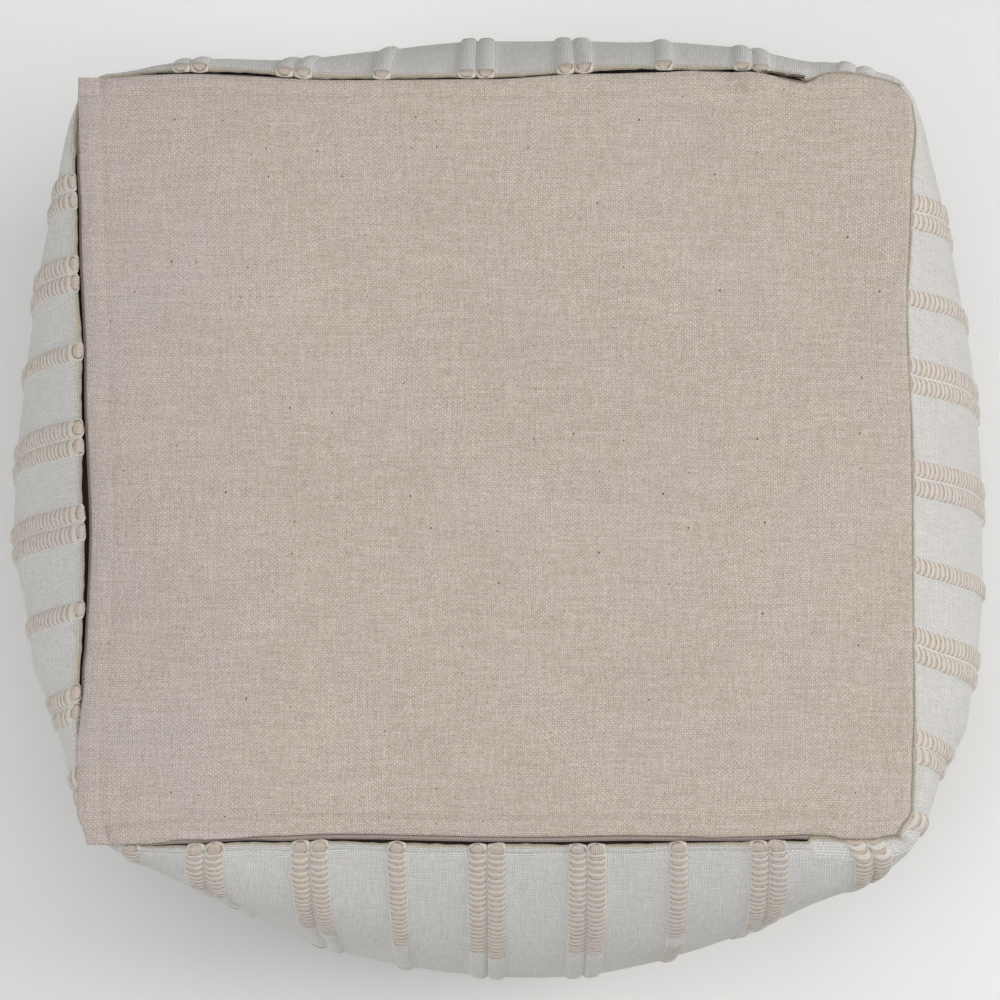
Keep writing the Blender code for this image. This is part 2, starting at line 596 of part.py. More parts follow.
def main():
    for old in list(bpy.data.objects):
        bpy.data.objects.remove(old, do_unlink=True)
    white_cloth = material("white_cloth", (0.80, 0.79, 0.76), 0.95)
    canvas = material("natural_canvas", (0.50, 0.44, 0.38), 0.95)
    tape = material("zip_tape", (0.30, 0.25, 0.23), 0.85)
    metal = material("dark_metal", (0.16, 0.14, 0.12), 0.35, 1.0)
    pieces = [seat_body(white_cloth)]
    pieces += [side_panel(side, white_cloth) for side in range(4)]
    pieces += [base_panel(canvas), zip_tape(tape), zip_slider(metal), zip_pull(metal)]
    centre_on_floor(pieces)


main()
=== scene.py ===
# %% [markdown]
# # A cube pouf stool, seen from its underside
# The pouf lies upside down on its seat face. A flat canvas base panel looks up at us, and four
# white woven sides bulge out around it, with raised cord ribs running down them. This lesson
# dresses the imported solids: a filled body, four side panels with their ribs, the canvas, and the
# zip that runs round three edges of it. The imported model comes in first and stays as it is.

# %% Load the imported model
import math

import bmesh
import bpy
import numpy as np
from mathutils import Matrix, Vector
from mathutils.bvhtree import BVHTree


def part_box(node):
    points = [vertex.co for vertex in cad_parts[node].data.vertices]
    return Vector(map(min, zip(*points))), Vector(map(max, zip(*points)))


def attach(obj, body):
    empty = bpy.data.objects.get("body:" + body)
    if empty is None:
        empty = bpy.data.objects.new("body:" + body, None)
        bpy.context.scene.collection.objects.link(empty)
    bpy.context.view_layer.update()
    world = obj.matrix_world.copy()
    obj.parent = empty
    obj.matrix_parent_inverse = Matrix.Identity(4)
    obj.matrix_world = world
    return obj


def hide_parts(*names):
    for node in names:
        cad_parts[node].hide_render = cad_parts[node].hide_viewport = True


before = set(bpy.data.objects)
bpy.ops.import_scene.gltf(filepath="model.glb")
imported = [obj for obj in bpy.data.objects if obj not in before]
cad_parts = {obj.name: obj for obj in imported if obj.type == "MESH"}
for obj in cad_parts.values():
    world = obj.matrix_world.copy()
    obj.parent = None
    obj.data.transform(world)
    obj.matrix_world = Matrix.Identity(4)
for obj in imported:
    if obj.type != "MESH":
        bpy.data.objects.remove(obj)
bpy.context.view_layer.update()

print("nodes:", sorted(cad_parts))

# %% [markdown]
# ## The filled form
# Real cloth has no formula, but a stuffed cube comes close to one. Seen from above it is a square
# at the rim and nearly round at its belly, and seen from the side it swells out and in again. A
# superellipse does both with one number, its power, that fades from sharp to round. The sizes here
# are the ones that the solids were made from, so the cloth lands on them with no fitting. Only the
# table DRAWN_IN differs on purpose.

# %% Sizes of the form
RIM_HEIGHT = 0.4
BELLY_DEPTH, BELLY_CURVE, SEAT_CURVE, SEAT_SHARE = 0.165, 2.6, 2.6, 0.1
CORNER_FADE, SEAT_CORNER_FADE, RIM_FADE_DEPTH = 1.17, 1.5, 0.08
NEAR, RIGHT, FAR, LEFT = range(4)

# side, outward direction, direction along it, reach at the rim, bulge
SIDES = (
    ("near", (0, -1), (1, 0), 0.215, 0.061),
    ("right", (1, 0), (0, 1), 0.23, 0.0475),
    ("far", (0, 1), (-1, 0), 0.2155, 0.0395),
    ("left", (-1, 0), (0, -1), 0.232, 0.046),
)
# power of each corner's curve at the rim, the belly and the seat, droop of the canvas there
CORNERS = ((34.0, 2.55, 2.4, 0.0), (34.0, 2.35, 3.2, 0.002), (30.0, 2.0, 3.0, 0.001),
           (14.0, 2.0, 2.7, 0.003))
# x or y along the side, reach of the canvas edge, reach of the cloth's fold, drop of the fold
EDGES = (
    ((-0.224, 0.212, 0.215, 0.009), (-0.208, 0.212, 0.215, 0.009), (-0.188, 0.2115, 0.215, 0.004),
     (-0.169, 0.211, 0.2155, 0.0), (-0.115, 0.207, 0.215, 0.0), (0.0, 0.209, 0.215, 0.0),
     (0.122, 0.209, 0.215, 0.0), (0.172, 0.2065, 0.2145, 0.0), (0.188, 0.207, 0.2145, 0.0),
     (0.197, 0.209, 0.215, 0.0), (0.212, 0.209, 0.215, 0.0), (0.225, 0.207, 0.2145, 0.0)),
    ((-0.212, 0.217, 0.2275, 0.0), (-0.197, 0.225, 0.2295, 0.0), (-0.168, 0.226, 0.2295, 0.0005),
     (-0.143, 0.227, 0.2275, 0.004), (0.008, 0.227, 0.2275, 0.004), (0.079, 0.225, 0.226, 0.004),
     (0.157, 0.228, 0.229, 0.004), (0.187, 0.2305, 0.2315, 0.006), (0.202, 0.229, 0.232, 0.009),
     (0.213, 0.221, 0.232, 0.009)),
    ((-0.232, 0.2125, 0.216, 0.0085), (-0.208, 0.2125, 0.2165, 0.0085), (-0.187, 0.214, 0.218, 0.0035),
     (-0.171, 0.2145, 0.2185, 0.0005), (-0.082, 0.211, 0.214, 0.0), (0.0, 0.2115, 0.2145, 0.0),
     (0.054, 0.2145, 0.218, 0.0), (0.106, 0.2155, 0.2195, 0.0), (0.143, 0.2145, 0.22, 0.0),
     (0.174, 0.2105, 0.219, 0.001), (0.19, 0.215, 0.2185, 0.004), (0.203, 0.2145, 0.2175, 0.0075),
     (0.214, 0.212, 0.2165, 0.009), (0.228, 0.2085, 0.2165, 0.009)),
    ((-0.21, 0.2245, 0.228, 0.009), (-0.193, 0.23, 0.2295, 0.009), (-0.163, 0.2285, 0.23, 0.008),
     (-0.143, 0.2265, 0.2305, 0.003), (-0.127, 0.2255, 0.231, 0.0005), (-0.043, 0.223, 0.2305, 0.0),
     (0.043, 0.2265, 0.2315, 0.0), (0.132, 0.23, 0.2345, 0.0), (0.167, 0.2315, 0.2365, 0.001),
     (0.187, 0.232, 0.2365, 0.005), (0.2, 0.2325, 0.236, 0.0085), (0.213, 0.2325, 0.236, 0.0085)),
)
# Real cloth lies less evenly than the solids do, so their edges are moved by 1 to 5 mm in places:
# x or y along the side, how much further in than the solids' the canvas edge and the cloth's fold lie
DRAWN_IN = (
    ((-0.192, 0.0, 0.0), (-0.173, 0.0015, 0.0012), (-0.135, 0.0, 0.003), (-0.119, -0.0005, 0.0024),
     (-0.083, 0.0009, 0.0032), (-0.062, 0.0012, 0.0022), (-0.035, 0.0012, 0.0014), (0.028, 0.0009, 0.0013),
     (0.075, 0.0017, 0.0013), (0.1, 0.0014, 0.0024), (0.13, 0.0004, 0.0024), (0.163, -0.0006, 0.003),
     (0.184, 0.0, 0.001), (0.2, 0.0, 0.0)),
    ((-0.2, 0.0, 0.0), (0.2, 0.0, 0.0)),
    ((-0.2, 0.0, 0.0), (0.045, 0.0, 0.0), (0.062, 0.0, -0.001), (0.076, 0.0, -0.0007),
     (0.095, 0.0, 0.0), (0.112, -0.0008, 0.0006), (0.135, -0.0006, 0.0012), (0.158, 0.0, 0.0036),
     (0.168, 0.0004, 0.0048), (0.175, 0.0012, 0.0052), (0.184, 0.0, 0.0018), (0.192, 0.0, 0.0)),
    ((-0.2, 0.0, 0.0), (-0.185, 0.0, 0.0), (-0.155, -0.0022, 0.0), (-0.12, -0.001, 0.0),
     (-0.101, 0.0, 0.001), (-0.064, 0.0, 0.002), (-0.04, 0.0, 0.0017), (-0.012, 0.0, 0.0004),
     (0.2, 0.0, 0.0)),
)
# bearing, depth, half-width in degrees, half-depth, amount
SWELLS = (
    (12.0, 0.12, 10.0, 0.1, -0.002), (64.0, 0.06, 14.0, 0.08, 0.0034), (109.0, 0.05, 11.0, 0.08, -0.003),
    (119.0, 0.06, 5.0, 0.08, -0.0045), (141.0, 0.05, 3.5, 0.08, -0.0035), (155.0, 0.06, 7.0, 0.08, 0.0034),
    (175.0, 0.12, 9.0, 0.1, -0.002), (203.0, 0.08, 4.0, 0.09, 0.0034), (212.0, 0.04, 6.0, 0.06, -0.0024),
    (233.0, 0.1, 8.0, 0.16, 0.0034), (276.0, 0.2, 9.0, 0.11, 0.002), (286.0, 0.13, 5.0, 0.022, -0.0022),
    (297.0, 0.19, 8.0, 0.1, -0.0024), (313.0, 0.08, 4.0, 0.09, 0.0032), (322.0, 0.04, 7.0, 0.07, -0.0028),
    (331.0, 0.08, 3.5, 0.09, 0.0042), (338.0, 0.09, 9.0, 0.1, 0.0032),
)


# %% Curves of the form
def eased(table, place, column):
    """Value of one column of a table at places along it, eased from row to row."""
    rows = np.array(table)
    place = np.asarray(place, float)
    index = np.clip(np.searchsorted(rows[:, 0], place, side="right") - 1, 0, len(rows) - 2)
    share = np.clip((place - rows[index, 0]) / (rows[index + 1, 0] - rows[index, 0]), 0, 1)
    share = share * share * (3 - 2 * share)
    return rows[index, column] + share * (rows[index + 1, column] - rows[index, column])


def edge_reach(side, place, column):
    """Reach of the canvas edge, column 1, or of the cloth's fold, column 2, at x or y along a side."""
    return eased(EDGES[side], place, column) - eased(DRAWN_IN[side], place, column)


def belly(depth):
    """Share of the full bulge at a depth below the rim."""
    if depth < BELLY_DEPTH:
        return 1 - abs(1 - max(depth, 0.0) / BELLY_DEPTH) ** BELLY_CURVE
    below = (depth - BELLY_DEPTH) / (RIM_HEIGHT - BELLY_DEPTH)
    return 1 - (1 - SEAT_SHARE) * min(below, 1.0) ** SEAT_CURVE


def corner_power(corner, depth):
    """How square a corner is in plan at a depth."""
    rim, middle, seat = CORNERS[corner][:3]
    if depth < BELLY_DEPTH:
        return 1 / (1 / rim + (1 / middle - 1 / rim) * max(belly(depth), 0.0) ** CORNER_FADE)
    return middle + (seat - middle) * ((depth - BELLY_DEPTH) / (RIM_HEIGHT - BELLY_DEPTH)) ** SEAT_CORNER_FADE


def side_reach(side, depth):
    """How far the middle of a side stands out at a depth."""
    return SIDES[side][3] + SIDES[side][4] * belly(depth)


def outline(side, u, depth):
    """Places along and out from the middle for an array of u from -1 to 1, and the two half lengths."""
    along, out, halves = np.zeros(len(u)), np.zeros(len(u)), {}
    ratio = np.linspace(0, 1, 201)
    for sign in (1, -1):
        corner = side if sign > 0 else (side - 1) % 4
        power = corner_power(corner, depth)
        size = (1 + ratio ** power) ** (-1 / power)
        across = side_reach((side + sign) % 4, depth) * ratio * size
        away = side_reach(side, depth) * size
        length = np.concatenate(([0.0], np.cumsum(np.hypot(np.diff(across), np.diff(away)))))
        picked = u * sign >= 0
        along[picked] = sign * np.interp(np.abs(u[picked]) * length[-1], length, across)
        out[picked] = np.interp(np.abs(u[picked]) * length[-1], length, away)
        halves[sign] = length[-1]
    return along, out, halves


def side_row(side, u, depth):
    """Points of the side cloth at one depth, for an array of u."""
    outward, direction = np.array(SIDES[side][1]), np.array(SIDES[side][2])
    along, out, _ = outline(side, u, depth)
    fade = max(0.0, 1 - depth / RIM_FADE_DEPTH) ** 2
    world_along = along * (direction[0] + direction[1])
    out = out + (edge_reach(side, world_along, 2) - SIDES[side][3]) * fade * (1 - u ** 8)
    flat = out[:, None] * outward + along[:, None] * direction
    turn = np.degrees(np.arctan2(flat[:, 1], flat[:, 0]))
    push = np.zeros(len(u))
    for bearing, middle, half_width, half_depth, amount in SWELLS:
        away = (turn - bearing + 180) % 360 - 180
        push += amount * np.exp(-(away / half_width) ** 2 - ((depth - middle) / half_depth) ** 2)
    flat += flat / np.linalg.norm(flat, axis=1)[:, None] * (push * (1 - fade))[:, None]
    height = RIM_HEIGHT - depth - eased(EDGES[side], world_along, 3) * fade
    return np.column_stack((flat, height))


# %% [markdown]
# The solids were centred over the origin after they were made. The zip slider's box tells how far,
# and everything below is moved by the same amount.

# %% Find the shift, and lay out the whole side cloth once
ZIP_X, SLIDER_INSET = 0.1436, 0.0022
slider_low, slider_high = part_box("zip_slider")
slider_y = float(eased(EDGES[FAR], ZIP_X, 1)) - SLIDER_INSET
slider_middle_y = (slider_low[1] + slider_high[1]) / 2
SHIFT = np.array([(slider_low[0] + slider_high[0]) / 2 - ZIP_X, slider_middle_y - slider_y, 0.0])
print("shift in mm:", np.round(SHIFT * 1000, 2))

RING_STEPS = 600                  # points along each side
DEPTHS = np.concatenate((np.linspace(0, 0.024, 25), np.linspace(0.028, 0.38, 89)))
RING_U = np.linspace(-1, 1, RING_STEPS, endpoint=False)
ring_points = np.array([np.concatenate([side_row(side, RING_U, depth) for side in range(4)])
                        for depth in DEPTHS]) + SHIFT
ring_across = np.roll(ring_points, -4, axis=1) - np.roll(ring_points, 4, axis=1)
ring_down = np.gradient(ring_points, DEPTHS, axis=0)
ring_normals = np.cross(ring_down, ring_across)
ring_normals /= np.linalg.norm(ring_normals, axis=2)[:, :, None]
HALVES = [outline(side, np.zeros(1), 0.0)[2] for side in range(4)]
print("side cloth laid out:", ring_points.shape[:2], "points")


# %% [markdown]
# The whole side cloth is now one table of points, in rings from the rim down. A piece that lies on
# it asks the table for a place and the direction outwards there, so all of them agree.

# %% Read a place on the side cloth
def cloth_at(side, u, depth):
    """Place and outward direction of the side cloth, for arrays of u and depth."""
    u, depth = np.broadcast_arrays(np.asarray(u, float), np.asarray(depth, float))
    ring = (side + (u + 1) / 2) * RING_STEPS
    level = np.interp(depth, DEPTHS, np.arange(len(DEPTHS)))
    column, row = np.floor(ring).astype(int), np.minimum(np.floor(level).astype(int), len(DEPTHS) - 2)
    a, b = (ring - column)[..., None], (level - row)[..., None]
    read = []
    for table in (ring_points, ring_normals):
        first, second = table[row, column % (4 * RING_STEPS)], table[row, (column + 1) % (4 * RING_STEPS)]
        third, fourth = table[row + 1, column % (4 * RING_STEPS)], table[row + 1, (column + 1) % (4 * RING_STEPS)]
        read.append((first * (1 - a) + second * a) * (1 - b) + (third * (1 - a) + fourth * a) * b)
    return read[0], read[1] / np.linalg.norm(read[1], axis=-1)[..., None]


def u_of(side, place):
    """The side's own coordinate u for a place in metres along it."""
    place = np.asarray(place, float)
    return np.where(place >= 0, place / HALVES[side][1], place / HALVES[side][-1])


# %% [markdown]
# ## Materials
# Every finish here is woven, so one recipe serves them all: two sets of yarns as sine ridges, and
# a checkerboard that says which set lies on top. The height drives both a bump and the dark gaps
# between the yarns. Noise stretched along a yarn makes its thick and thin places. The yarns follow
# each piece's own "cloth" coordinates in metres, so they turn with the cloth.

# %% Small helpers for shader nodes
OVER_SHARE = 0.45                 # how far a yarn rises where it lies on top


class Finish:
    """A material's node tree, with short calls for the nodes used here."""

    def __init__(self, name, roughness, sheen=0.0, metallic=0.0):
        self.material = bpy.data.materials.new(name)
        self.material.use_nodes = True
        self.tree = self.material.node_tree
        self.shader = self.tree.nodes["Principled BSDF"]
        for socket, value in (("Roughness", roughness), ("Metallic", metallic), ("Sheen Weight", sheen),
                              ("Sheen Roughness", 0.6)):
            self.shader.inputs[socket].default_value = value

    def put(self, value, socket):
        """Link an output to a socket, or set the socket to a number or a colour."""
        if isinstance(value, bpy.types.NodeSocket):
            self.tree.links.new(value, socket)
        elif socket.type == "RGBA":
            socket.default_value = (*value, 1.0)
        else:
            socket.default_value = value

    def node(self, kind, inputs, **settings):
        """A new node with its settings, and its inputs by name or number."""
        node = self.tree.nodes.new("ShaderNode" + kind)
        for setting, value in settings.items():
            setattr(node, setting, value)
        for name, value in inputs.items():
            self.put(value, node.inputs[name])
        return node

    def math(self, operation, *values):
        return self.node("Math", dict(enumerate(values)), operation=operation).outputs[0]

    def times(self, first, second):
        return self.math("MULTIPLY", first, second)

    def plus(self, first, *others):
        for other in others:
            first = self.math("ADD", first, other)
        return first

    def minus(self, first, second):
        return self.math("SUBTRACT", first, second)

    def waver(self, base, *noises):
        """A base value, moved up and down by noises, each with its amount."""
        for noise, amount in noises:
            base = self.plus(base, self.times(self.minus(noise, 0.5), amount))
        return base

    def ridges(self, value, pitch):
        """Round ridges, 0 to 1, one every pitch."""
        return self.math("ABSOLUTE", self.math("SINE", self.times(value, math.pi / pitch)))

    def vector(self, x, y, z=0.0):
        return self.node("CombineXYZ", {0: x, 1: y, 2: z}).outputs[0]

    def split(self, vector):
        return tuple(self.node("SeparateXYZ", {0: vector}).outputs)

    def attribute(self, name, output="Vector"):
        return self.node("Attribute", {}, attribute_name=name).outputs[output]

    def place(self):
        return self.node("TexCoord", {}).outputs["Object"]

    def noise(self, vector, scale, detail=2.0, roughness=0.5):
        inputs = {"Vector": vector, "Scale": scale, "Detail": detail, "Roughness": roughness}
        return self.node("TexNoise", inputs).outputs[0]

    def ramp(self, value, low, high):
        """0 at one value and 1 at another, eased between them."""
        inputs = {"Value": value, "From Min": low, "From Max": high}
        return self.node("MapRange", inputs, interpolation_type="SMOOTHSTEP").outputs[0]

    def mix(self, share, first, second):
        return self.node("Mix", {0: share, 6: first, 7: second}, data_type="RGBA").outputs[2]

    def shade(self, colour, factor):
        return self.node("VectorMath", {0: colour, "Scale": factor}, operation="SCALE").outputs[0]

    def weave(self, x, y, pitch_x, pitch_y):
        """Height, 0 to 1, of a plain weave, the count of its yarns in x and y, and which lies on top."""
        a, b = self.math("DIVIDE", x, pitch_x), self.math("DIVIDE", y, pitch_y)
        ridge_a, ridge_b = [self.math("SINE", self.times(count, math.pi)) for count in (a, b)]
        over = self.times(self.times(ridge_a, ridge_b), OVER_SHARE)
        warp = self.plus(self.math("ABSOLUTE", ridge_a), over)
        weft = self.minus(self.math("ABSOLUTE", ridge_b), over)
        return self.math("DIVIDE", self.math("MAXIMUM", warp, weft), 1 + OVER_SHARE), a, b, over

    def bump(self, height, distance, strength=1.0):
        return self.node("Bump", {"Strength": strength, "Distance": distance, "Height": height}).outputs[0]

    def done(self, colour, normal=None):
        self.put(colour, self.shader.inputs["Base Color"])
        if normal is not None:
            self.put(normal, self.shader.inputs["Normal"])
        return self.material


def tint(red, green, blue):
    """A colour given as on screen, 0 to 255, as the linear values that a shader takes."""
    return tuple(c / 12.92 if c <= 0.04045 else ((c + 0.055) / 1.055) ** 2.4
                 for c in (red / 255, green / 255, blue / 255))


# %% [markdown]
# ### White side cloth
# The sides are a soft, thick cotton in a plain weave, with yarns a little over a millimetre apart.
# It is off-white, with no two yarns quite alike. A light sheen stands for its fuzz. On the inner
# side of the rolled rim, which turns away from the light, the mark paints olive shade.

# %% White cloth
def white_cloth_finish():
    finish = Finish("white_cloth", 0.95, sheen=0.2)
    spot = finish.attribute("cloth")
    x, y, _ = finish.split(spot)
    wander = finish.noise(spot, 60.0, 1.0)
    x = finish.plus(x, finish.times(wander, 0.0016))
    y = finish.plus(y, finish.times(wander, 0.0013))
    height, a, b, over = finish.weave(x, y, pitch_x=0.00125, pitch_y=0.00135)
    slub_a = finish.noise(finish.vector(a, finish.times(b, 0.1)), 1.0, 1.0)
    slub_b = finish.noise(finish.vector(finish.times(a, 0.1), b, 7.0), 1.0, 1.0)
    lit = finish.plus(finish.times(finish.ramp(height, 0.25, 0.95), 0.26), finish.times(over, 0.2))
    lit = finish.waver(lit, (slub_a, 0.22), (slub_b, 0.22), (finish.noise(spot, 9.0, 2.0), 0.05),
                       (finish.noise(spot, 520.0, 1.0), 0.22))
    # painted shade: where the mark is, on the inner side of the roll, the cloth is made olive
    white = finish.mix(finish.attribute("mark", "Fac"), tint(236, 234, 230), tint(190, 180, 158))
    colour = finish.shade(white, finish.plus(lit, 0.82))
    fuzz = finish.noise(spot, 2600.0, 2.0)
    tall = finish.plus(height, finish.times(fuzz, 0.35))
    return finish.done(colour, finish.bump(tall, 0.00065))


white_cloth = white_cloth_finish()


# %% [markdown]
# ### Ribs
# Each rib is a ladder: cream cords lie across it in the curve of a smile, and between them a tan
# ground shows, with fine threads running down. The ladder is modelled, so the material only needs
# to know where the ground shows. The mark on the points says so, and the shader sharpens its edge
# and paints a broken dark line of shadow along the foot of each cord.

# %% Rib cord and ground
def rib_finish():
    finish = Finish("rib_cord", 0.93, sheen=0.15)
    spot = finish.attribute("cloth")
    x, y, _ = finish.split(spot)
    mark = finish.attribute("mark", "Fac")
    ground = finish.ramp(mark, 0.42, 0.62)
    threads = finish.ridges(x, 0.00115)
    patch = finish.noise(finish.vector(finish.times(x, 0.6), y), 60.0, 2.0)
    fine = finish.noise(spot, 900.0, 2.0)
    tan = finish.mix(finish.ramp(patch, 0.35, 0.65), tint(211, 196, 179), tint(213, 198, 188))
    tan = finish.shade(tan, finish.plus(finish.times(threads, 0.34), 0.74))
    cream = finish.mix(finish.ramp(patch, 0.3, 0.7), tint(228, 221, 209), tint(226, 218, 212))
    cream = finish.shade(cream, finish.plus(finish.times(fine, 0.34), 0.8))
    colour = finish.mix(ground, cream, tan)
    # painted shadow: a broken dark line where each cord meets the ground
    foot = finish.times(finish.ramp(mark, 0.16, 0.45), finish.ramp(mark, 0.8, 0.45))
    patchy = finish.ramp(finish.noise(spot, 330.0, 1.0), 0.42, 0.62)
    foot = finish.times(foot, finish.plus(finish.times(patchy, 0.65), 0.2))
    colour = finish.mix(foot, colour, tint(120, 108, 88))
    plies = finish.math("SINE", finish.plus(finish.times(x, 5200.0), finish.times(y, 3600.0)))
    tall = finish.plus(finish.times(plies, 0.35), finish.times(threads, ground), finish.times(fine, 0.8))
    return finish.done(colour, finish.bump(tall, 0.00022, 0.9))


rib_cord = rib_finish()


# %% [markdown]
# ### Natural canvas
# The base is plain unbleached cotton, a greyed beige. Its yarns are uneven, and bits of cotton
# seed show as small dark specks, a few of them rusty. The specks come from a cell pattern in which
# only some cells are picked, each with its own size.

# %% Canvas
def canvas_finish():
    finish = Finish("natural_canvas", 0.95, sheen=0.12)
    spot = finish.attribute("cloth")
    across, along, _ = finish.split(spot)
    wander, drift = finish.noise(spot, 60.0, 2.0), finish.noise(spot, 12.0, 1.0)
    x = finish.plus(across, finish.times(wander, 0.003), finish.times(drift, 0.012))
    y = finish.plus(along, finish.times(wander, -0.0026), finish.times(drift, 0.01))
    height, a, b, over = finish.weave(x, y, pitch_x=0.0012, pitch_y=0.00112)
    slub_a = finish.noise(finish.vector(a, finish.times(b, 0.05)), 0.9, 2.0)
    slub_b = finish.noise(finish.vector(finish.times(a, 0.05), b, 5.0), 0.9, 2.0)
    thick = finish.plus(finish.ramp(slub_a, 0.3, 0.75), finish.ramp(slub_b, 0.3, 0.75))
    grain = finish.noise(spot, 620.0, 2.0, 0.6)
    lit = finish.plus(finish.times(finish.ramp(height, 0.25, 0.95), 0.3), finish.times(thick, 0.1),
                      finish.times(over, 0.3), finish.times(finish.ridges(b, 1.0), 0.07))
    lit = finish.waver(lit, (grain, 0.75), (finish.noise(spot, 7.0, 2.0), 0.1),
                       (finish.noise(spot, 38.0, 2.0), 0.07))
    tone = finish.ramp(finish.noise(spot, 200.0, 1.0), 0.35, 0.65)
    warm = finish.mix(tone, tint(210, 198, 187), tint(205, 192, 177))
    lilac = finish.ramp(finish.noise(spot, 16.0, 1.0), 0.46, 0.66)
    warm = finish.mix(finish.times(lilac, 0.35), warm, tint(207, 196, 193))
    # painted shade: the canvas is made darker towards its left edge
    left = finish.ramp(across, -0.1, -0.24)
    warm = finish.mix(finish.times(left, 0.5), warm, tint(196, 184, 182))
    colour = finish.shade(warm, finish.plus(lit, 0.68))
    cells = finish.node("TexVoronoi", {"Vector": finish.vector(finish.times(x, 1.25), y), "Scale": 62.0},
                        voronoi_dimensions="2D")
    pick, size, rust = finish.split(cells.outputs["Color"])
    radius = finish.plus(finish.times(finish.math("POWER", size, 3.0), 0.034), 0.015)
    speck = finish.times(finish.math("LESS_THAN", cells.outputs["Distance"], radius),
                         finish.math("GREATER_THAN", pick, 0.62))
    seed = finish.mix(finish.math("GREATER_THAN", rust, 0.86), tint(92, 78, 68), tint(190, 122, 72))
    colour = finish.mix(finish.times(speck, 0.8), colour, seed)
    tall = finish.plus(height, finish.times(finish.plus(thick, grain), 0.4))
    return finish.done(colour, finish.bump(tall, 0.0004, 0.9))


natural_canvas = canvas_finish()


# %% [markdown]
# ### Zip tape, metal and sewing thread
# The tape is a fine mauve-grey ribbed band, with a woven cord line beside the teeth. The slider
# and its pull are dark metal, worn bright in patches.

# %% Tape, metal and thread
def tape_finish():
    finish = Finish("zip_tape", 0.8, sheen=0.1)
    spot = finish.attribute("cloth")
    x, y, _ = finish.split(spot)
    ribs = finish.ridges(x, 0.00105)
    lines = finish.ramp(finish.math("SINE", finish.times(y, 2 * math.pi / 0.0021)), 0.55, 0.95)
    fine = finish.noise(spot, 700.0, 2.0)
    lit = finish.plus(finish.times(ribs, 0.4), finish.times(fine, 0.3), finish.times(lines, -0.35))
    colour = finish.shade(tint(178, 162, 156), finish.plus(lit, 0.62))
    return finish.done(colour, finish.bump(finish.plus(ribs, finish.times(lines, -0.8)), 0.00025, 0.9))


def metal_finish(name, colour, roughness):
    finish = Finish(name, roughness, metallic=1.0)
    spot = finish.place()
    wear = finish.ramp(finish.noise(spot, 420.0, 3.0), 0.52, 0.7)
    worn = tuple(min(1.0, part * 2.2) for part in colour)
    scratches = finish.noise(spot, 2400.0, 2.0)
    return finish.done(finish.mix(wear, colour, worn), finish.bump(scratches, 0.00004, 0.5))


def thread_finish(name, colour):
    finish = Finish(name, 0.9, sheen=0.15)
    twist = finish.noise(finish.place(), 1800.0, 2.0)
    return finish.done(finish.shade(colour, finish.plus(finish.times(twist, 0.3), 0.85)),
                       finish.bump(twist, 0.0001, 0.8))


zip_tape_cloth = tape_finish()
# painted shade: a dark brown cloth for the body's top, standing for the shade in the gap beside the zip
gap_shade_cloth = thread_finish("gap_shade_cloth", tint(90, 73, 55))
dark_metal = metal_finish("dark_metal", tint(98, 88, 74), 0.42)
bright_metal = metal_finish("bright_metal", tint(196, 192, 186), 0.22)
canvas_thread = thread_finish("canvas_thread", tint(198, 185, 172))
print("materials made:", len(bpy.data.materials))


# %% [markdown]
# ## Helpers for the pieces
# A sheet of cloth starts as a flat grid from `create_grid`, and each of its points is then moved to
# its place on the form. The same points also get their "cloth" coordinates: metres along the side
# and metres down the cloth. A "mark" from 0 to 1 says where a second colour shows.

# %% Sheet helpers
def bent_grid(bm, points, cloth, marks=None):
    """Lay a flat grid on an array of points, and note the cloth coordinates and marks of each point."""
    columns, rows = points.shape[:2]
    cloth_layer = bm.verts.layers.float_vector.get("cloth") or bm.verts.layers.float_vector.new("cloth")
    mark_layer = None
    if marks is not None:
        mark_layer = bm.verts.layers.float.get("mark") or bm.verts.layers.float.new("mark")
    made = bmesh.ops.create_grid(bm, x_segments=columns - 1, y_segments=rows - 1, size=1.0)
    for vert in made["verts"]:
        i = round((vert.co.x + 1) / 2 * (columns - 1))
        j = round((vert.co.y + 1) / 2 * (rows - 1))
        vert.co = points[i, j]
        vert[cloth_layer] = cloth[i, j]
        if mark_layer is not None:
            vert[mark_layer] = marks[i, j]


def new_object(name, data):
    """Put a mesh, a lamp or a camera into the scene."""
    made = bpy.data.objects.new(name, data)
    bpy.context.scene.collection.objects.link(made)
    return made


def points_of(mesh):
    """The points of a mesh, in rows of x, y, z."""
    places = np.empty(len(mesh.vertices) * 3)
    mesh.vertices.foreach_get("co", places)
    return places.reshape(-1, 3)


def edges_of(verts):
    """The edges that meet at some points, each once and always in the same order."""
    return list(dict.fromkeys(edge for vert in verts for edge in vert.link_edges))


def piece_from(bm, name, material, replaces):
    """Make an object of the mesh, give it its finish, and let it ride on the pouf."""
    mesh = bpy.data.meshes.new(name)
    bm.to_mesh(mesh)
    bm.free()
    mesh.materials.append(material)
    mesh.shade_smooth()
    piece = new_object(name, mesh)
    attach(piece, "root")
    if replaces:
        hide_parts(*replaces)
    return piece


def thicken(piece, thickness):
    """Give a sheet its thickness, inwards from the face that shows."""
    solid = piece.modifiers.new("thickness", "SOLIDIFY")
    solid.thickness = thickness
    solid.offset = -1.0
    return piece


def face_outwards(bm, inside):
    """Turn a sheet's faces so that they look away from a point inside the pouf."""
    bm.normal_update()
    total = sum(face.normal.dot(face.calc_center_median() - inside) for face in bm.faces)
    if total < 0:
        bmesh.ops.reverse_faces(bm, faces=bm.faces)


MIDDLE = Vector((SHIFT[0], SHIFT[1], RIM_HEIGHT / 2))


# %% [markdown]
# ## Lie of the base canvas
# The side cloth has to meet the canvas, so the canvas's lie comes first. It is nearly flat, with a
# slight crown from the filling and a droop at each corner. Its creases are soft troughs and
# ridges, each a line with a width and a height, because a crease in thick cotton has no sharp edge.
# The groove beside a hem is narrower than in the solids, where it has to stay coarse.

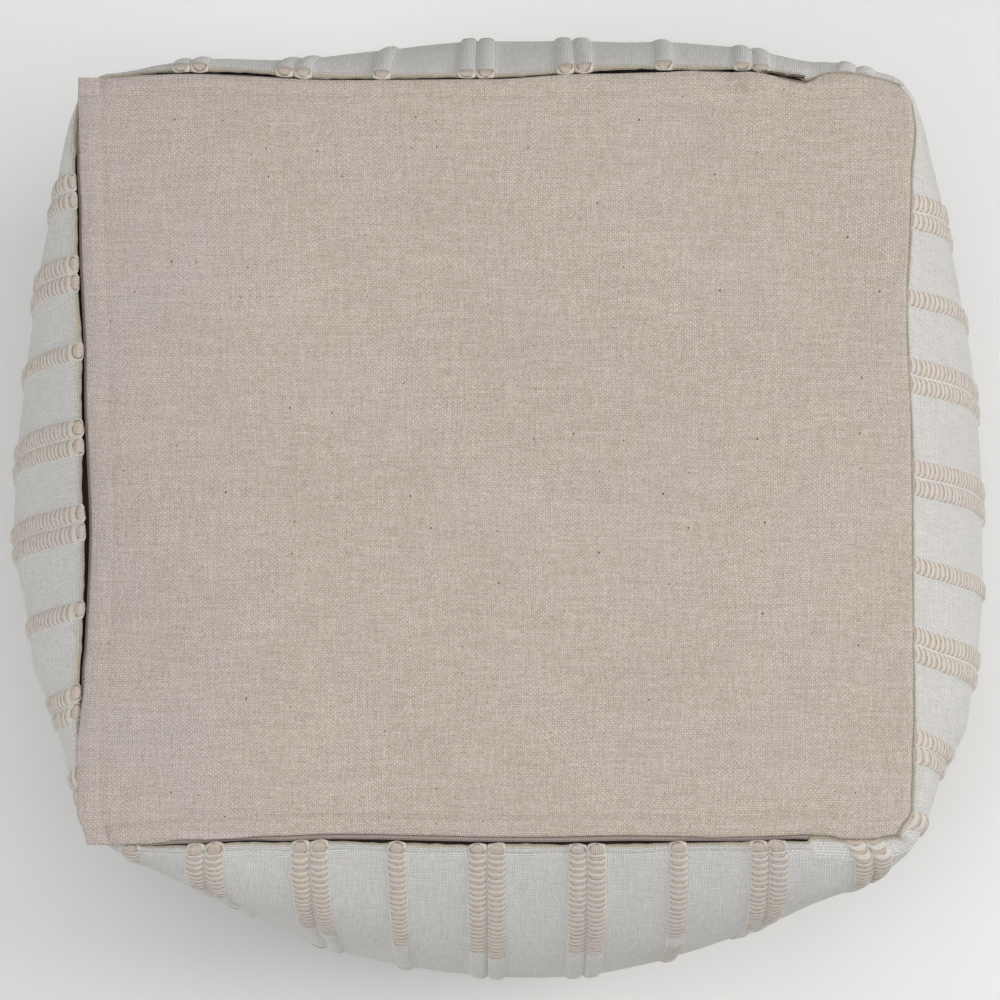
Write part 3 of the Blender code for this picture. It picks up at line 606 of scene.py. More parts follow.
# %% Lie of the canvas
CANVAS, CANVAS_HEM, CANVAS_GROOVE, CANVAS_DROP, CANVAS_CROWN = 0.0018, 0.003, 0.0013, 0.0025, 0.0035
LEFT_HEM, NEAR_HEM, FAR_HEM, HEM_ROUNDING, GROOVE_SIDE = 0.013, 0.0115, 0.01, 0.0015, 0.0014
BASE_HALF_WIDTH, BASE_HALF_DEPTH, DROOP_REACH = 0.2265, 0.2115, 0.075
SLIDER_LIFT, SLIDER_LIFT_SPREAD = 0.005, 0.012
# crease from x, y to x, y, half-width, height
CREASES = (
    (0.172, 0.204, 0.186, 0.176, 0.006, -0.0011), (0.19, 0.208, 0.206, 0.186, 0.005, 0.001),
    (0.15, 0.18, 0.218, 0.168, 0.009, 0.0005), (-0.222, -0.2, -0.196, -0.176, 0.009, -0.0007),
    (-0.12, 0.15, 0.06, 0.128, 0.016, 0.0004), (0.04, -0.12, 0.18, -0.15, 0.015, -0.0004),
)


def base_height(x, y):
    """Underside of the canvas, for arrays of places."""
    crown = CANVAS_CROWN * (1 - (x / 0.24) ** 2) * (1 - (y / 0.23) ** 2)
    height = RIM_HEIGHT - CANVAS_DROP + crown + 0.0006 * np.sin(9 * x + 5 * y) * np.cos(7 * y - 2 * x)
    for corner, (x_sign, y_sign) in enumerate(((1, -1), (1, 1), (-1, 1), (-1, -1))):
        away = np.hypot(x - x_sign * 0.226, y - y_sign * 0.21)
        height = height - CORNERS[corner][3] * np.maximum(0.0, 1 - away / DROOP_REACH) ** 2
    return height


def canvas_waves(x, y):
    """Rise of the canvas over the slider and along its creases."""
    spread = ((x - ZIP_X) ** 2 + (y - slider_y) ** 2) / SLIDER_LIFT_SPREAD ** 2
    height = SLIDER_LIFT * np.exp(-spread ** 2)
    for x0, y0, x1, y1, half_width, amount in CREASES:
        long_x, long_y = x1 - x0, y1 - y0
        length = math.hypot(long_x, long_y)
        along = np.clip(((x - x0) * long_x + (y - y0) * long_y) / length ** 2, 0, 1)
        away = np.hypot(x - x0 - along * long_x, y - y0 - along * long_y)
        height = height + amount * np.exp(-(away / half_width) ** 2)
    return height


def canvas_flat(a, b):
    """Place of the canvas point a of the way from left to right and b of the way from near to far."""
    x_even = -BASE_HALF_WIDTH + 2 * BASE_HALF_WIDTH * a
    y_even = -BASE_HALF_DEPTH + 2 * BASE_HALF_DEPTH * b
    left, right = -edge_reach(LEFT, y_even, 1), edge_reach(RIGHT, y_even, 1)
    near, far = -edge_reach(NEAR, x_even, 1), edge_reach(FAR, x_even, 1)
    return left + (right - left) * a, near + (far - near) * b


# %% [markdown]
# ## Side panels
# Each side is one piece of cloth. Where the zip runs, its top edge is rolled over and stitched
# down, which makes a round rim, a raised band and a groove. Where there is no zip, the same edge
# runs in under the canvas and is sewn there. Both edges have the same number of points, and the
# cloth passes from one to the other over 8 mm. The ribs push the cloth out from behind.

# %% Stripes and the cloth's edge
CLOTH_THICKNESS = 0.0012
RIB_HEIGHT, RUNG_HEIGHT, RIB_HALF_WIDTH, PAIR_HALF_PITCH = 0.0019, 0.0007, 0.005, 0.0052
SEAM_DIP, SEAM_DIP_WIDTH = 0.0016, 0.005
ROLL_RADIUS, ROLL_RUN, ROLL_LIFT = 0.0016, 0.001, 0.0002
SEWN_FROM, SEWN_EASE, SEWN_BELOW, SEWN_IN = 0.1715, 0.004, 0.0005, 0.005
UNDER_SHARE, EDGE_SPREAD = 0.45, 1.97   # share of the sewn edge under the canvas, spread of its points along it
# middle of each stripe along its side, and its ribs
STRIPES = (
    ((-0.2005, 1), (-0.1595, 2), (-0.1025, 2), (-0.055, 1), (-0.006, 2), (0.0485, 2),
     (0.098, 1), (0.147, 2), (0.2035, 2)),
    ((-0.197, 1), (-0.157, 2), (-0.1015, 2), (-0.0585, 1), (-0.0105, 2), (0.046, 2),
     (0.089, 1), (0.137, 2)),
    ((-0.1985, 2), (-0.1405, 2), (-0.092, 1), (-0.0425, 2), (0.012, 2), (0.0645, 1),
     (0.113, 2), (0.1705, 2)),
    ((-0.1485, 2), (-0.1025, 2), (-0.059, 1), (-0.0115, 2), (0.0355, 2), (0.0835, 1),
     (0.1345, 2), (0.1785, 2)),
)
# run down the cloth and height: the part turned under, and the band and groove below the roll
CREST_ROW = 7                     # the row of the roll that the lengths down the cloth start from
TURNED_UNDER = ((0.0085, -0.0027), (0.005, -0.0027))
BAND = ((0.0024, 0.0002), (0.0034, -0.0001), (0.0042, -0.0006), (0.005, -0.0003), (0.006, 0.0), (0.008, 0.0))
# depth, height: the foot, where the seat seam draws the cloth in
FOOT = ((0.36, 0.0), (0.366, -0.0003), (0.3705, -0.001), (0.374, -0.0026))

roll_turns = np.radians((190, 168, 146, 124, 102, 80, 60, 40, 20, 0))
roll = np.column_stack((ROLL_RUN - ROLL_RADIUS * np.sin(roll_turns),
                        ROLL_LIFT - ROLL_RADIUS + ROLL_RADIUS * np.cos(roll_turns)))
edge_profile = np.concatenate((TURNED_UNDER, roll, BAND))
edge_lengths = np.concatenate(([0.0], np.cumsum(np.linalg.norm(np.diff(edge_profile, axis=0), axis=1))))
edge_lengths -= edge_lengths[len(TURNED_UNDER) + CREST_ROW]
edge_ways = np.gradient(edge_profile, edge_lengths, axis=0)
print("cloth from the crest of the rim to the end of the band:", round(float(edge_lengths[-1]) * 1000, 1), "mm")

# %% [markdown]
# A place on the cloth is found from two lengths that a maker would measure with a tape: how far
# along the side, and how far down from the crest of the rim. Near the rim the second one goes round
# the roll. Where the edge is sewn, it goes from under the canvas, over its edge and down the side.

# %% Read the cloth by two lengths
def cloth_lengths(side, depths):
    """Metres down the cloth from the rim to each depth, measured at the middle of a side."""
    points, _ = cloth_at(side, np.zeros(len(DEPTHS)), DEPTHS)
    run = np.concatenate(([0.0], np.cumsum(np.linalg.norm(np.diff(points, axis=0), axis=1))))
    return np.interp(depths, DEPTHS, run)


def sewn_share(side, places):
    """1 where the edge is sewn under the canvas, 0 where the zip runs."""
    if side in (RIGHT, LEFT):
        return np.full(np.shape(places), float(side == RIGHT))
    x = places * SIDES[side][2][0]
    share = np.clip((x - SEWN_FROM + SEWN_EASE) / (2 * SEWN_EASE), 0, 1)
    return share * share * (3 - 2 * share)


def under_canvas(side, spots, inset):
    """Points just under the edge of the canvas nearest to some spots, moved inwards by an inset."""
    a = 0.5 + np.clip((spots[..., 0] - SHIFT[0]) / (EDGE_SPREAD * BASE_HALF_WIDTH), -0.5, 0.5)
    b = 0.5 + np.clip((spots[..., 1] - SHIFT[1]) / (EDGE_SPREAD * BASE_HALF_DEPTH), -0.5, 0.5)
    a = np.full_like(a, float(side == RIGHT)) if side in (RIGHT, LEFT) else a
    b = np.full_like(b, float(side == FAR)) if side in (NEAR, FAR) else b
    shrink = 1 - inset / BASE_HALF_DEPTH
    x, y = canvas_flat(0.5 + (a - 0.5) * shrink, 0.5 + (b - 0.5) * shrink)
    z = base_height(x, y) + canvas_waves(x, y) - SEWN_BELOW
    return np.stack((x, y, z), axis=-1) + SHIFT


def cloth_points(side, places, lengths, lift):
    """Points of the cloth at places along a side and lengths down it, raised by a lift."""
    places, lengths, lift = np.broadcast_arrays(places, lengths, lift)
    run = np.interp(lengths, edge_lengths, edge_profile[:, 0]) + np.maximum(lengths - edge_lengths[-1], 0)
    height = np.interp(lengths, edge_lengths, edge_profile[:, 1])
    below = lengths > edge_lengths[-1]
    lean = np.where(below, 0.0, -np.interp(lengths, edge_lengths, edge_ways[:, 1]))
    rise = np.where(below, 1.0, np.interp(lengths, edge_lengths, edge_ways[:, 0]))
    to_depth, reach, u = cloth_lengths(side, DEPTHS), run + lean * lift, u_of(side, places)
    spots, normals = cloth_at(side, u, np.interp(np.abs(reach), to_depth, DEPTHS))
    crest, crest_normals = cloth_at(side, u, np.zeros_like(u))
    inwards = (reach < 0)[..., None]
    spots, normals = np.where(inwards, 2 * crest - spots, spots), np.where(inwards, crest_normals, normals)
    rolled = spots + normals * (height + rise * lift)[..., None]
    sewn = sewn_share(side, places) * (lengths < edge_lengths[-1])
    if not sewn.any():
        return rolled
    end_depth = np.interp(BAND[-1][0], to_depth, DEPTHS)
    end, end_normals = cloth_at(side, u_of(side, places), np.full(places.shape, end_depth))
    start, over = under_canvas(side, end, SEWN_IN), under_canvas(side, end, 0.0)
    way = np.clip((lengths - edge_lengths[0]) / (edge_lengths[-1] - edge_lengths[0]), 0, 1)
    first = np.clip(way / UNDER_SHARE, 0, 1)[..., None]
    second = np.clip((way - UNDER_SHARE) / (1 - UNDER_SHARE), 0, 1)[..., None]
    turn = over + (end - over) * np.array([0.4, 0.4, 0.0])
    bent = over * (1 - second) ** 2 + turn * 2 * second * (1 - second) + end * second ** 2
    laid = np.where(second > 0, bent, start + (over - start) * first)
    laid = laid + end_normals * lift[..., None] * np.clip(second * 2.5, 0, 1)
    return rolled + (laid - rolled) * sewn[..., None]


# %% [markdown]
# The ribs are ladders of cords over most of their length, with a smooth stretch after every block
# of rungs. There the white cloth itself is as high as the rungs. On the far side only an oval shows
# at the rim, and the ribs are smooth from there to beyond the belly. Cloth is also never quite
# even: a sum of slow sine waves, different on every side, moves it by tenths of a millimetre, and
# a quicker one ripples the rim.

# %% Ribs, smooth stretches and unevenness
# per side: length down the cloth to the first block of rungs
LADDER_STARTS = (0.007, -0.001, 0.0044, 0.0086)
SEWN_START, RUNG_PITCH, LADDER_END = -0.001, 0.0048, 0.366
BLOCK, SMOOTH = 0.096, 0.021
PAIR_STEP = 0.7                   # difference of a pair's first blocks, as a share of the pair's distance
SMOOTH_EASE, SMOOTH_DROP = 0.004, 0.0002
# per side and stripe: length of the first block of rungs, and of the smooth stretch after it
FIRST_BLOCKS = (
    ((0.02, 0.24), (0.045, 0.22), (0.089, 0.15), (0.093, 0.15), (0.104, 0.13), (0.1, 0.13),
     (0.085, 0.018), (0.097, 0.14), (0.06, 0.18)),
    ((0.132, 0.021),) * 8,
    ((0.0, 0.08),) * 8,
    ((0.126, 0.021),) * 8,
)


def ribs_of(side):
    """Every rib of a side: its middle, in metres along it, and the start and end of its blocks of rungs."""
    ribs = []
    last = cloth_lengths(side, np.array([LADDER_END]))[0]
    for (stripe, count), (block, smooth) in zip(STRIPES[side], FIRST_BLOCKS[side]):
        for step in ((-PAIR_HALF_PITCH, PAIR_HALF_PITCH) if count == 2 else (0.0,)):
            start = SEWN_START if sewn_share(side, np.array(stripe)) > 0.5 else LADDER_STARTS[side]
            block_length, smooth_length, blocks = block + PAIR_STEP * step, smooth, []
            while start < last - 0.01:
                rungs = int((min(start + block_length, last) - start) / RUNG_PITCH)
                blocks.append((start, start + rungs * RUNG_PITCH))
                start, block_length, smooth_length = blocks[-1][1] + smooth_length, BLOCK, SMOOTH
            ribs.append((stripe + step, blocks))
    return ribs


def rib_shape(share):
    """Height of a rib, 0 to 1, at a share of its half-width from its middle."""
    return (1 - np.clip(np.abs(share), 0, 1) ** 2.2) ** 0.8


def smooth_share(blocks, lengths):
    """1 in the smooth stretches of a rib, 0 in its ladders."""
    share = np.zeros(np.shape(lengths))
    for (_, end), (start, _) in zip(blocks, blocks[1:]):
        rising = np.clip((lengths - end) / SMOOTH_EASE, 0, 1)
        share = share + rising * np.clip((start + 0.001 - lengths) / SMOOTH_EASE, 0, 1)
    return share


def rib_base(blocks, lengths):
    """Height of the cloth under a rib's middle, at lengths down it."""
    full = RIB_HEIGHT - RUNG_HEIGHT + smooth_share(blocks, lengths) * (RUNG_HEIGHT - SMOOTH_DROP)
    return full * np.interp(lengths, (-0.005, -0.003, -0.001, 0.001, 0.003), (0.0, 0.3, 0.7, 0.9, 1.0))


def seam_dip(side, places, lengths):
    """How far the corner seams draw the cloth in, less where it is sewn to the canvas."""
    to_corner = np.minimum(places + HALVES[side][-1], HALVES[side][1] - places)
    free = 1 - sewn_share(side, places) * np.clip(1 - (lengths - 0.006) / 0.03, 0, 1)
    return -SEAM_DIP * np.clip(1 - to_corner / SEAM_DIP_WIDTH, 0, 1) ** 2 * free


def unevenness(side, places, lengths):
    """Small soft waves in the cloth."""
    slow = np.sin(41 * places + 2.1 * side) * np.sin(33 * lengths + 1.3 * side)
    middle = np.sin(113 * places + 57 * lengths + side) + 0.8 * np.sin(97 * places - 71 * lengths + 2.4 * side)
    ripple = np.sin(520 * places + side) + 0.7 * np.sin(890 * places + 3 * side)
    ripple = np.exp(-np.abs(lengths) / 0.005) * ripple
    return 0.0004 * slow + 0.00022 * middle + 0.00028 * ripple


# %% [markdown]
# A panel is one grid. Its columns stand close together on the ribs and further apart between them,
# and its rows go round the rolled edge and then down to the foot. Its mark paints olive shade on the
# inner side of the roll. The cloth gets its thickness inwards, so that its face stays where it was put.

# %% Make the four side panels
COLUMN_SPACING, ROW_SPACING = 0.004, 0.005
RIB_COLUMNS = (-1.0, -0.9, -0.7, -0.35, 0, 0.35, 0.7, 0.9, 1.0)   # shares of a rib's half-width
# lengths down the cloth, and the mark there: painted olive shade on the roll's inner side
ROLL_SHADE = ((-0.004, -0.0012, 0.0, 0.0013), (1.0, 1.0, 0.6, 0.0))


def panel_places(side):
    """Columns of a side panel: close together on the ribs, wider between them."""
    first, last = -HALVES[side][-1], HALVES[side][1]
    places = {first, last, first + 0.0015, last - 0.0015, first + 0.0035, last - 0.0035}
    for middle, _ in ribs_of(side):
        places.update(middle + RIB_HALF_WIDTH * share for share in RIB_COLUMNS)
    places = sorted(place for place in places if first <= place <= last)
    full = []
    for place, following in zip(places, places[1:]):
        steps = max(1, round((following - place) / COLUMN_SPACING))
        full += [place + (following - place) * step / steps for step in range(steps)]
    return np.array([place for place, following in zip(full, full[1:] + [places[-1]])
                     if following - place > 0.0002] + [places[-1]])


side_panels = []
for side in range(4):
    places = panel_places(side)[:, None]
    foot = cloth_lengths(side, np.array(FOOT)[:, 0]) - BAND[-1][0] + edge_lengths[-1]
    rows_down = np.arange(edge_lengths[-1] + 0.002, foot[0] - 0.003, ROW_SPACING)
    lengths = np.concatenate((edge_lengths, rows_down, foot))[None, :]
    lift = seam_dip(side, places, lengths) + unevenness(side, places, lengths)
    for middle, blocks in ribs_of(side):
        lift = lift + rib_shape((places - middle) / RIB_HALF_WIDTH) * rib_base(blocks, lengths)
    lift[:, :len(TURNED_UNDER)] = 0.0
    lift = lift + np.interp(lengths, foot, np.array(FOOT)[:, 1])
    cloth = np.stack(np.broadcast_arrays(places + side, lengths, 0.0), axis=-1)
    marks = np.broadcast_to(np.interp(lengths, *ROLL_SHADE), lift.shape)
    bm = bmesh.new()
    bent_grid(bm, cloth_points(side, places, lengths, lift), cloth, marks)
    face_outwards(bm, MIDDLE)
    name = SIDES[side][0]
    panel = piece_from(bm, "side_cloth_" + name, white_cloth, ("side_panel_" + name,))
    side_panels.append(thicken(panel, CLOTH_THICKNESS))
    print("side cloth", name, "columns", len(places), "rows", lengths.size)

# %% [markdown]
# ## The ladders on the ribs
# A rung could be a small tube of its own, but there are thousands of them, and the real
# ones are woven in. So each block of a rib is one long corrugated strip: five rows of points make
# one rung, up over its cord and down to the ground. Every row is bent in the curve of a smile. The
# strip's edges and ends sink into the cloth, so nothing floats. On the rolled rim a rib ends in a
# flat oval of tan ground with a cord round it, which lies over the crest.

# %% Make the rib ladders
SMILE, STRIP_RISE = 0.0012, 0.0002
# share of a rung's pitch, height, and how much of the tan ground shows
RUNG_ROWS = ((0.0, 0.0, 1.0), (0.2, 0.0, 1.0), (0.36, 0.85, 0.15), (0.58, 1.0, 0.0), (0.82, 0.75, 0.15))
# columns of a strip, as shares of the rib's half-width
STRIP_SHARES = np.array((-1.06, -0.9, -0.62, -0.22, 0.22, 0.62, 0.9, 1.06))
# per side: length down to the middle of the oval, and its half-length; the right edge is sewn and has none
OVALS = ((0.0014, 0.0025), None, (0.001, 0.0026), (-0.0002, 0.0022))
OVAL_HALF_WIDTH, OVAL_CORD, OVALS_FROM, OVAL_ROW = 0.0039, 0.0005, -0.0038, 0.0005


def strip_rows(start, end, seed, has_oval):
    """Rows of one block as arrays: length down the cloth, height of the rung, ground, and 1 for a rung."""
    rungs = round((end - start) / RUNG_PITCH)
    rows = [(start - 0.0012, 0.0, 0.0, 0.0)]
    if has_oval:
        rows = [(length, 0.0, 0.0, 0.0) for length in np.arange(OVALS_FROM, start - 0.0004, OVAL_ROW)]
    for rung in range(rungs):
        shift = 0.00025 * math.sin(rung * 1.7 + seed)
        tall = 1 + 0.22 * math.sin(rung * 2.3 + seed)
        rows += [(start + (rung + share) * RUNG_PITCH + shift, height * tall, mark, 1.0)
                 for share, height, mark in RUNG_ROWS]
    last = start + rungs * RUNG_PITCH
    rows += [(last + 0.0003, 0.0, 0.6, 1.0), (last + 0.0014, 0.0, 0.0, 1.0)]
    return np.array(rows).T, rungs


def oval_at(across, lengths, middle, half_length):
    """Distance from an oval's middle, with 1 at its rim."""
    return np.hypot(across / OVAL_HALF_WIDTH, (lengths - middle) / half_length)


def ladder(bm, side, middle, blocks, number, seed):
    """One block of one rib, with its oval if it starts at a rolled rim."""
    start, end = blocks[number]
    has_oval = number == 0 and start > SEWN_START
    (lengths, heights, ground, is_rung), rungs = strip_rows(start, end, seed, has_oval)
    across = (STRIP_SHARES * RIB_HALF_WIDTH)[:, None]
    edge = np.clip(1.04 - np.abs(STRIP_SHARES), 0, 1)[:, None]
    lengths = lengths[None, :] - (STRIP_SHARES ** 2)[:, None] * SMILE * is_rung[None, :]
    places = middle + across
    taper = np.clip(edge * 3.2, 0, 1)
    low = rib_base(blocks, lengths) - smooth_share(blocks, lengths) * (RUNG_HEIGHT - SMOOTH_DROP)
    lift = rib_shape(STRIP_SHARES)[:, None] * low
    lift = lift + STRIP_RISE * taper + RUNG_HEIGHT * heights[None, :] * taper
    lift = lift + unevenness(side, places, lengths) + seam_dip(side, places, lengths)
    lift = lift - 0.001 * (np.abs(STRIP_SHARES) > 1)[:, None]
    marks = ground[None, :] * np.clip(edge * 4.5, 0, 1)
    if has_oval:
        oval, off_rung = oval_at(across, lengths, *OVALS[side]), is_rung[None, :] < 0.5
        lift = lift + OVAL_CORD * np.exp(-((oval - 1.22) / 0.24) ** 2) * off_rung
        marks = np.maximum(marks, np.clip(1.9 - oval * 1.4, 0, 1) * off_rung)
    lift[:, 0] -= 0.0009
    lift[:, -1] -= 0.0012
    cloth = np.stack(np.broadcast_arrays(places + side, lengths, seed), axis=-1)
    bent_grid(bm, cloth_points(side, places, lengths, lift), cloth, marks)
    return rungs


for side in range(4):
    bm = bmesh.new()
    rungs = 0
    for rib, (middle, blocks) in enumerate(ribs_of(side)):
        rungs += sum(ladder(bm, side, middle, blocks, number, 3.1 * rib + side + 5.0 * number)
                     for number in range(len(blocks)))
    face_outwards(bm, MIDDLE)
    name, faces = SIDES[side][0], len(bm.faces)
    piece_from(bm, "rib_ladders_" + name, rib_cord, ())
    print("ladders", name, "ribs", len(ribs_of(side)), "rungs", rungs, "faces", faces)

for side, panel in enumerate(side_panels):
    wide = sum(outline(side, np.zeros(1), BELLY_DEPTH)[2].values())

# %% [markdown]
# ## The filled body
# Under the cloth is a stuffed bag, and its rounded underside is the seat face. Cloth simulation
# gives stuffing its natural swell: the imported body is remeshed into even small faces, drawn in a
# little, blown up under pressure for twenty steps, and held back so that it never passes the
# side cloth or the floor. Its top shows only through the gap beside the zip, and there it is
# painted dark brown as the shade in that gap.

# %% Blow up the body
BODY_VOXEL, BODY_DRAW_IN, BODY_CAP, BODY_CLEAR = 0.01, 0.005, 0.006, 0.0004
BODY_PRESSURE, BODY_STEPS = 4.0, 20


def remeshed_body():
    """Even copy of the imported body."""
    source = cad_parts["seat_body"]
    bm = bmesh.new()
    bm.from_mesh(source.data)
    bmesh.ops.remove_doubles(bm, verts=bm.verts, dist=0.00005)
    shell = BVHTree.FromBMesh(bm)
    mesh = bpy.data.meshes.new("seat_body_cloth")
    bm.to_mesh(mesh)
    bm.free()
    body = new_object("seat_body_cloth", mesh)
    remesh = body.modifiers.new("even", "REMESH")
    remesh.mode = "VOXEL"
    remesh.voxel_size = BODY_VOXEL
    body.data = bpy.data.meshes.new_from_object(body.evaluated_get(bpy.context.evaluated_depsgraph_get()))
    body.modifiers.clear()
    return body, shell


def draw_in(mesh, shell, amount):
    """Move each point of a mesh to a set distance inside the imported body's surface."""
    for vert in mesh.vertices:
        place, normal, _, _ = shell.find_nearest(vert.co)
        vert.co = place - normal * amount


def blow_up(body):
    """Places of the body's points after some steps as cloth under pressure."""
    scene = bpy.context.scene
    cloth = body.modifiers.new("stuffing", "CLOTH")
    settings = cloth.settings
    settings.use_pressure = True
    settings.uniform_pressure_force = BODY_PRESSURE
    settings.effector_weights.gravity = 0.0
    settings.quality = 4
    settings.mass = 0.3
    for frame_number in range(1, BODY_STEPS + 1):
        scene.frame_set(frame_number)
    blown = bpy.data.meshes.new_from_object(body.evaluated_get(bpy.context.evaluated_depsgraph_get()))
    places = points_of(blown)
    body.modifiers.clear()
    bpy.data.meshes.remove(blown)
    scene.frame_set(1)
    return places


body, body_shell = remeshed_body()
draw_in(body.data, body_shell, BODY_DRAW_IN)
start = points_of(body.data)
blown = blow_up(body)
step = blown - start
reach_moved = np.linalg.norm(step, axis=1)
step *= np.minimum(1.0, BODY_CAP / np.maximum(reach_moved, 1e-9))[:, None]
print("body points", len(start), "moved up to", round(float(reach_moved.max()) * 1000, 1), "mm before the cap")

# %% [markdown]
# Stuffing can't push through its cover or the floor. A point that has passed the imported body's
# surface goes back inside it, and the points of the flat underside are set down on the floor.

# %% Settle the body inside its cover and on the floor
FLOOR_FLAT, GAP_SHADE_ABOVE, COVER_FOOT = 0.0016, 0.372, 0.026
for vert, place in zip(body.data.vertices, start + step):
    spot = Vector(place)
    near, normal, _, _ = body_shell.find_nearest(spot)
    past = (spot - near).dot(normal) + BODY_CLEAR
    if near.z > COVER_FOOT and past > 0:
        spot -= normal * past
    if near.z < FLOOR_FLAT and normal.z < -0.5:
        spot.z = 0.0
    spot.z = max(spot.z, 0.0)
    vert.co = spot

bm = bmesh.new()
bm.from_mesh(body.data)
cloth_layer = bm.verts.layers.float_vector.new("cloth")
bmesh.ops.subdivide_edges(bm, edges=bm.edges, cuts=1, use_grid_fill=True, smooth=0.0)
bmesh.ops.recalc_face_normals(bm, faces=bm.faces)
for vert in bm.verts:
    vert[cloth_layer] = (vert.co.x, vert.co.y + vert.co.z, 0.0)
bm.to_mesh(body.data)
bm.free()
body.data.materials.clear()
body.data.materials.append(white_cloth)
body.data.materials.append(gap_shade_cloth)
# painted shade: faces near the top of the body get the dark brown gap shade
for face in body.data.polygons:
    face.material_index = int(face.center.z > GAP_SHADE_ABOVE)
body.data.shade_smooth()
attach(body, "root")
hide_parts("seat_body")
print("body faces", len(body.data.polygons))

# %% [markdown]
# ## Base panel
# The canvas lies almost flat, with a slight crown from the filling. Its near, left and far edges
# are turned under and stitched, which leaves a raised band and a fine groove along each. Its right
# edge is sewn straight to the side. Steps of thickness across the grid make the hems.

# %% Make the base panel
CANVAS_SPACING = 0.004


def canvas_steps(low_hem, high_hem, length, spacing):
    """Steps across the canvas as (share, thickness)."""
    low = [(0.0, 0.0008), (0.0004, CANVAS_HEM - 0.0009), (HEM_ROUNDING, CANVAS_HEM), (low_hem - 0.004, CANVAS_HEM),
           (low_hem - GROOVE_SIDE, CANVAS_HEM - 0.0003), (low_hem, CANVAS_GROOVE), (low_hem + GROOVE_SIDE, CANVAS)]
    if high_hem == 0:
        high = [(length - 0.004, CANVAS), (length - 0.0015, CANVAS), (length, 0.0007)]
    else:
        high = [(length - place * high_hem / low_hem if place > 0.002 else length - place, thickness)
                for place, thickness in low[::-1]]
    start, end = low[-1][0], high[0][0]
    count = round((end - start) / spacing)
    middle = [(start + (end - start) * step / count, CANVAS) for step in range(1, count)]
    return np.array([(place / length, thickness) for place, thickness in low + middle + high])


across = canvas_steps(LEFT_HEM, 0.0, 2 * BASE_HALF_WIDTH, CANVAS_SPACING)
along = canvas_steps(NEAR_HEM, FAR_HEM, 2 * BASE_HALF_DEPTH, CANVAS_SPACING)
a, b = np.meshgrid(across[:, 0], along[:, 0], indexing="ij")
canvas_x, canvas_y = canvas_flat(a, b)
low_edge = np.minimum(across[:, 1][:, None], along[:, 1][None, :])
thickness = np.where(low_edge < CANVAS, low_edge, np.maximum(across[:, 1][:, None], along[:, 1][None, :]))
canvas_z = base_height(canvas_x, canvas_y) + canvas_waves(canvas_x, canvas_y) + thickness
bm = bmesh.new()
cloth = np.stack((canvas_x, canvas_y, np.zeros_like(canvas_x)), axis=-1)
bent_grid(bm, np.stack((canvas_x, canvas_y, canvas_z), axis=-1) + SHIFT, cloth)
face_outwards(bm, MIDDLE)
canvas = piece_from(bm, "base_canvas", natural_canvas, ("base_panel",))
thicken(canvas, 0.0012)
print("canvas grid", a.shape)

# %% [markdown]
# ## Stitches
# The hem stitches are short and sit in the groove, in thread the colour of the canvas. One stitch
# is a small cube, bevelled until it is a lozenge. It has few faces, because there are hundreds.

# %% Stitch along the three hems
STITCH_LENGTH, STITCH_PITCH, STITCH_WIDTH, SEAM_SPAN = 0.0026, 0.0036, 0.00075, 0.44


def bevel_edges(bm, verts, offset, segments):
    """Take the edges off a block."""
    bmesh.ops.bevel(bm, geom=edges_of(verts), offset=offset, segments=segments, profile=0.5, affect="EDGES",
                    material=-1)


def add_stitch(bm, place, heading, up):
    """One stitch: a cube drawn out along the seam, with its edges taken off."""
    made = bmesh.ops.create_cube(bm, size=1.0)
    side = up.cross(heading).normalized()
    turn = Matrix((heading, side, heading.cross(side))).transposed().to_4x4()
    size = Matrix.Diagonal((STITCH_LENGTH, STITCH_WIDTH, STITCH_WIDTH, 1.0))
    bmesh.ops.transform(bm, matrix=Matrix.Translation(place) @ turn @ size, verts=made["verts"])
    bevel_edges(bm, made["verts"], STITCH_WIDTH * 0.3, 1)


def seam_line(fixed, start, end, moves_along_x):
    """Points along one stitched groove of the canvas."""
    count = int(abs(end - start) * SEAM_SPAN / STITCH_PITCH)
    moving = np.linspace(start, end, count)
    still = np.full(count, fixed)
    x, y = canvas_flat(moving, still) if moves_along_x else canvas_flat(still, moving)
    z = base_height(x, y) + canvas_waves(x, y) + CANVAS_GROOVE + STITCH_WIDTH * 0.2
    return np.column_stack((x, y, z)) + SHIFT


bm = bmesh.new()
stitches = 0
for points in (seam_line(LEFT_HEM / (2 * BASE_HALF_WIDTH), 0.03, 0.97, False),
               seam_line(NEAR_HEM / (2 * BASE_HALF_DEPTH), 0.03, 0.985, True),
               seam_line(1 - FAR_HEM / (2 * BASE_HALF_DEPTH), 0.03, 0.985, True)):
    for first, second in zip(points, points[1:]):
        heading = Vector(second - first).normalized()
        add_stitch(bm, Vector((first + second) / 2), heading, Vector((0, 0, 1)))
        stitches += 1
hem_stitches = piece_from(bm, "canvas_stitches", canvas_thread, ())
print("stitches", stitches)

# %% [markdown]
# ## Zip
# The zip is closed, and only its tape shows, between the canvas and the folds of the side cloth.
# The tape is one bent strip with a raised woven line. The slider sits near the far right corner.

# %% Zip tape
TAPE_BELOW, TAPE_END_X, TAPE_CORNER = 0.0006, 0.1715, 0.018
# per side: how far the tape's outer edge stands out from under the canvas; it stays clear of the fold
TAPE_PROUD, TAPE_CLEAR = (0.0025, 0.0, 0.0004, 0.0013), 0.0026
# inset from the tape's outer edge, rise
TAPE_ROWS = np.array(((0.0, -0.0003), (0.0006, 0.0), (0.0018, 0.0), (0.0024, 0.00022), (0.0031, 0.00022),
                      (0.0037, 0.0), (0.007, 0.0), (0.012, 0.0)))


